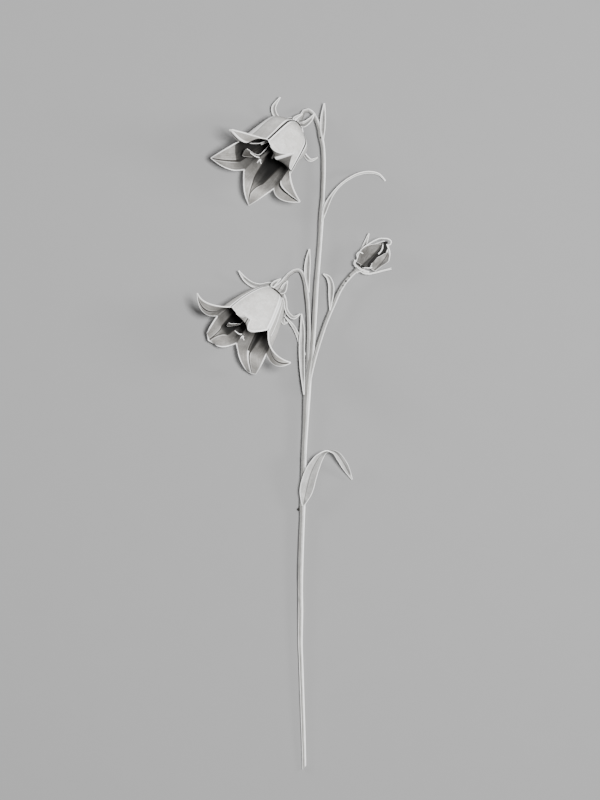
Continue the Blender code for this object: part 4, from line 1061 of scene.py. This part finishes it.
def calyx(name, head, neck, widest, sepals):
    cup = new_sheet()
    receptacle(cup, head, neck, widest)
    lie_flat(cup)
    pieces = [solid(cup, name + " cup", STALK)]
    for knots in sepals:
        bm = new_sheet()
        blade(bm, knots, 36, 8, 0.35, 0.05)
        lie_flat(bm, SEPAL_THICK / 2)
        pieces.append(thin(bm, name + " sepal", LEAF, SEPAL_THICK))
    return stand_for(joined(name + "_sepals", pieces), name)


def radial_spine(head, angle, knots, rows, sink=0):
    """Rows for a strap that faces outward, from knots of distance along, radius and half width."""
    spine = []
    for along, radius, half in smooth(knots, rows):
        centre = head.place(along, angle, radius)
        side = (head.place(along, angle, radius, 1) - centre).normalized()
        outward = (head.place(along, angle, radius + 1) - centre).normalized()
        drop = Vector((0, 0, sink * (along / head.length) ** 2))
        spine.append((centre - drop, side, outward, half, along))
    return spine


def sheet(bm, net, lit_tones, rows, columns):
    """Add a creased sheet through rows of corners, smooth along its length."""
    last = len(net[0]) - 1

    def shape(column, row):
        place = column / columns * last
        start = min(int(place), last - 1)
        left = Vector(point_on([line[start] for line in net], row / rows))
        right = Vector(point_on([line[start + 1] for line in net], row / rows))
        point = left.lerp(right, place - start)
        width = (right - left).length
        # Each side of the sheet carries its painted tone of light and shade, and the lit sides a painted
        # highlight at their margins.
        tone = lit_tones[1] if column * 2 == columns else lit_tones[start * 2]
        margin = min(column, columns - column) / columns * last * (right - left).xy.length
        margin = min(margin, min(row, rows - row) * 0.5) if lit_tones[start * 2] > RIMMED_LIT_TONE else 9
        return point, (place * width, row * 0.4, margin, 1, 1.6, 0, tone)

    patch(bm, columns, rows, shape)


def bud():
    """The closed flower: a pleated core painted dark as shade, with creased sheets and curled strips round
    it.
    """
    core = new_sheet()

    def shape(column, row):
        share = row / BUD_ROWS
        turn = column / BUD_SIDES * 360
        pleat = mix(BUD_SEAM, 1.0, abs(math.sin(math.radians(turn * 2.5))) ** 0.7)
        radius = BUD_RADIUS * math.sin(math.pi * share ** 0.8) ** 0.75 * mix(1, pleat, ease(0, 0.3, share))
        angle = turn + BUD_TWIST * share
        radius *= 1 - BUD_FLAT * math.cos(math.radians(angle)) ** 2
        point = BUD.place(share * BUD.length, angle, max(radius, 0))
        return point, (turn / 10, share * BUD.length, 2, 1, 0.0)

    patch(core, BUD_SIDES, BUD_ROWS, shape)
    lie_flat(core)
    bmesh.ops.remove_doubles(core, verts=core.verts, dist=0.000004)
    bmesh.ops.recalc_face_normals(core, faces=core.faces)
    pieces = [piece_from(core, "bud core", [INSIDE])]
    for angle, knots in BUD_PETALS:
        bm = new_sheet()
        strap(bm, radial_spine(BUD, angle, knots, 40), 16, -0.25, tone=BUD_PETAL_SHADE)
        lie_flat(bm, 0.3)
        pieces.append(thin(bm, "bud petal", BUD_SKIN, 0.5))
    for net, lit_tones in zip(BUD_SHEETS, BUD_SHEET_SHADES):
        bm = new_sheet()
        sheet(bm, net, lit_tones, 40, 24)
        pieces.append(thin(bm, "bud sheet", BUD_SKIN, 0.35))
    for knots in BUD_STRIPS:
        bm = new_sheet()
        blade(bm, [(x, y, z, half * STRIP_SHARE, roll) for x, y, z, half, roll in knots], 40, 8, 0.4)
        pieces.append(thin(bm, "bud strip", LEAF, 0.3))
    return stand_for(joined("bud_petals", pieces), "bud_corolla")


def pistil(name, head, style):
    """The style, rising from the receptacle, with its spread stigma."""
    length, sideways, turns = style
    bm = new_sheet()
    path = []
    for along, offset in smooth([(0.0, 0), (length * 0.5, sideways * 0.4), (length, sideways)], 24):
        path.append((*head.place(along, 90, offset), STYLE_RADIUS))
    stalk(bm, path, 20, 5, 0.15)
    pieces = [solid(bm, name + " style", STYLE)]
    for turn, spread in turns:
        outward = head.place(length, turn, 1) - head.centre(length)
        root = head.place(length, 90, sideways) - head.axis(length) * 0.8
        middle = root + outward * spread * 0.45 + head.axis(length) * 1.6
        end = root + outward * spread + head.axis(length) * 1.7
        knots = [(*root, 0.3, 0), (*middle, 0.28, 0), (*end, 0.22, 0)]
        bm = new_sheet()
        blade(bm, knots, 16, 6, 0.2)
        pieces.append(piece_from(bm, name + " lobe", [STIGMA], wall=(0.3, 0, 0, 0)))
    return stand_for(joined(name + "_style", pieces), name)


def stamens(name, head, first):
    """Five flat filaments with their anthers, grown from a collar round the style's foot."""
    bm = new_sheet()

    def collar(column, row):
        along = COLLAR_LENGTH * row
        return head.place(along, column * 10, COLLAR_RADIUS), (column, along, 1, 1, 0.5)

    patch(bm, 36, 1, collar)
    bmesh.ops.remove_doubles(bm, verts=bm.verts, dist=0.000004)
    pieces = [piece_from(bm, name + " collar", [INSIDE], wall=(0.6, -1, 0, 0))]
    for number in range(5):
        bm = new_sheet()
        strap(bm, radial_spine(head, first + 72 * number, STAMENS, 30), 8, 0.2)
        pieces.append(thin(bm, name + " filament", INSIDE, 0.5))
    for angle, knots in ANTHERS[name]:
        bm = new_sheet()
        strap(bm, radial_spine(head, angle, knots, 60, ANTHER_SINK), 10, -0.15)
        pieces.append(thin(bm, name + " anther", ANTHER, 0.25))
    return stand_for(joined(name + "_filaments", pieces), name)


def table():
    bm = bmesh.new()
    bmesh.ops.create_grid(bm, x_segments=1, y_segments=1, size=3)
    data = bpy.data.meshes.new("table")
    bm.to_mesh(data)
    bm.free()
    data.materials.append(table_surface())
    top = bpy.data.objects.new("table", data)
    bpy.context.scene.collection.objects.link(top)


def camera():
    data = bpy.data.cameras.new("camera")
    data.lens = CAMERA_LENS
    data.sensor_width = 36
    data.clip_end = 20
    view = bpy.data.objects.new("camera", data)
    view.location = Vector(CAMERA_PLACE) * MM
    bpy.context.scene.collection.objects.link(view)
    bpy.context.scene.camera = view


def lamp(name, place, size, power):
    data = bpy.data.lights.new(name, "AREA")
    data.shape = "DISK"
    data.size = size
    data.energy = power
    light = bpy.data.objects.new(name, data)
    light.location = place
    light.rotation_euler = (Vector((0, 0.05, 0)) - Vector(place)).to_track_quat("-Z", "Y").to_euler()
    bpy.context.scene.collection.objects.link(light)


def room():
    world = bpy.data.worlds.new("room")
    world.use_nodes = True
    world.node_tree.nodes["Background"].inputs["Color"].default_value = (1, 1, 1, 1)
    world.node_tree.nodes["Background"].inputs["Strength"].default_value = 0.12
    bpy.context.scene.world = world
    lamp("key", (0.28, 0.1, 1.5), 0.3, 47)
    lamp("left", (-0.9, 0.5, 0.45), 0.3, 5)
    lamp("right", (0.9, 0.1, 0.45), 0.25, 5)


def build():
    table()
    camera()
    room()
    stem()
    corolla("upper_petals", UPPER)
    corolla("lower_petals", LOWER)
    bud()
    calyx("upper_calyx", UPPER_BELL, UPPER_NECK, 3.3, UPPER_SEPALS)
    calyx("lower_calyx", LOWER_BELL, LOWER_NECK, 4.6, LOWER_SEPALS)
    calyx("bud_calyx", BUD, BUD_NECK, 2.8, BUD_SEPALS)
    pistil("upper_pistil", UPPER_BELL, UPPER_STYLE)
    pistil("lower_pistil", LOWER_BELL, LOWER_STYLE)
    stamens("upper_stamens", UPPER_BELL, -55)
    stamens("lower_stamens", LOWER_BELL, -70)
    for name, (fold, knots) in LEAVES.items():
        leaf(name, fold, knots)


build()
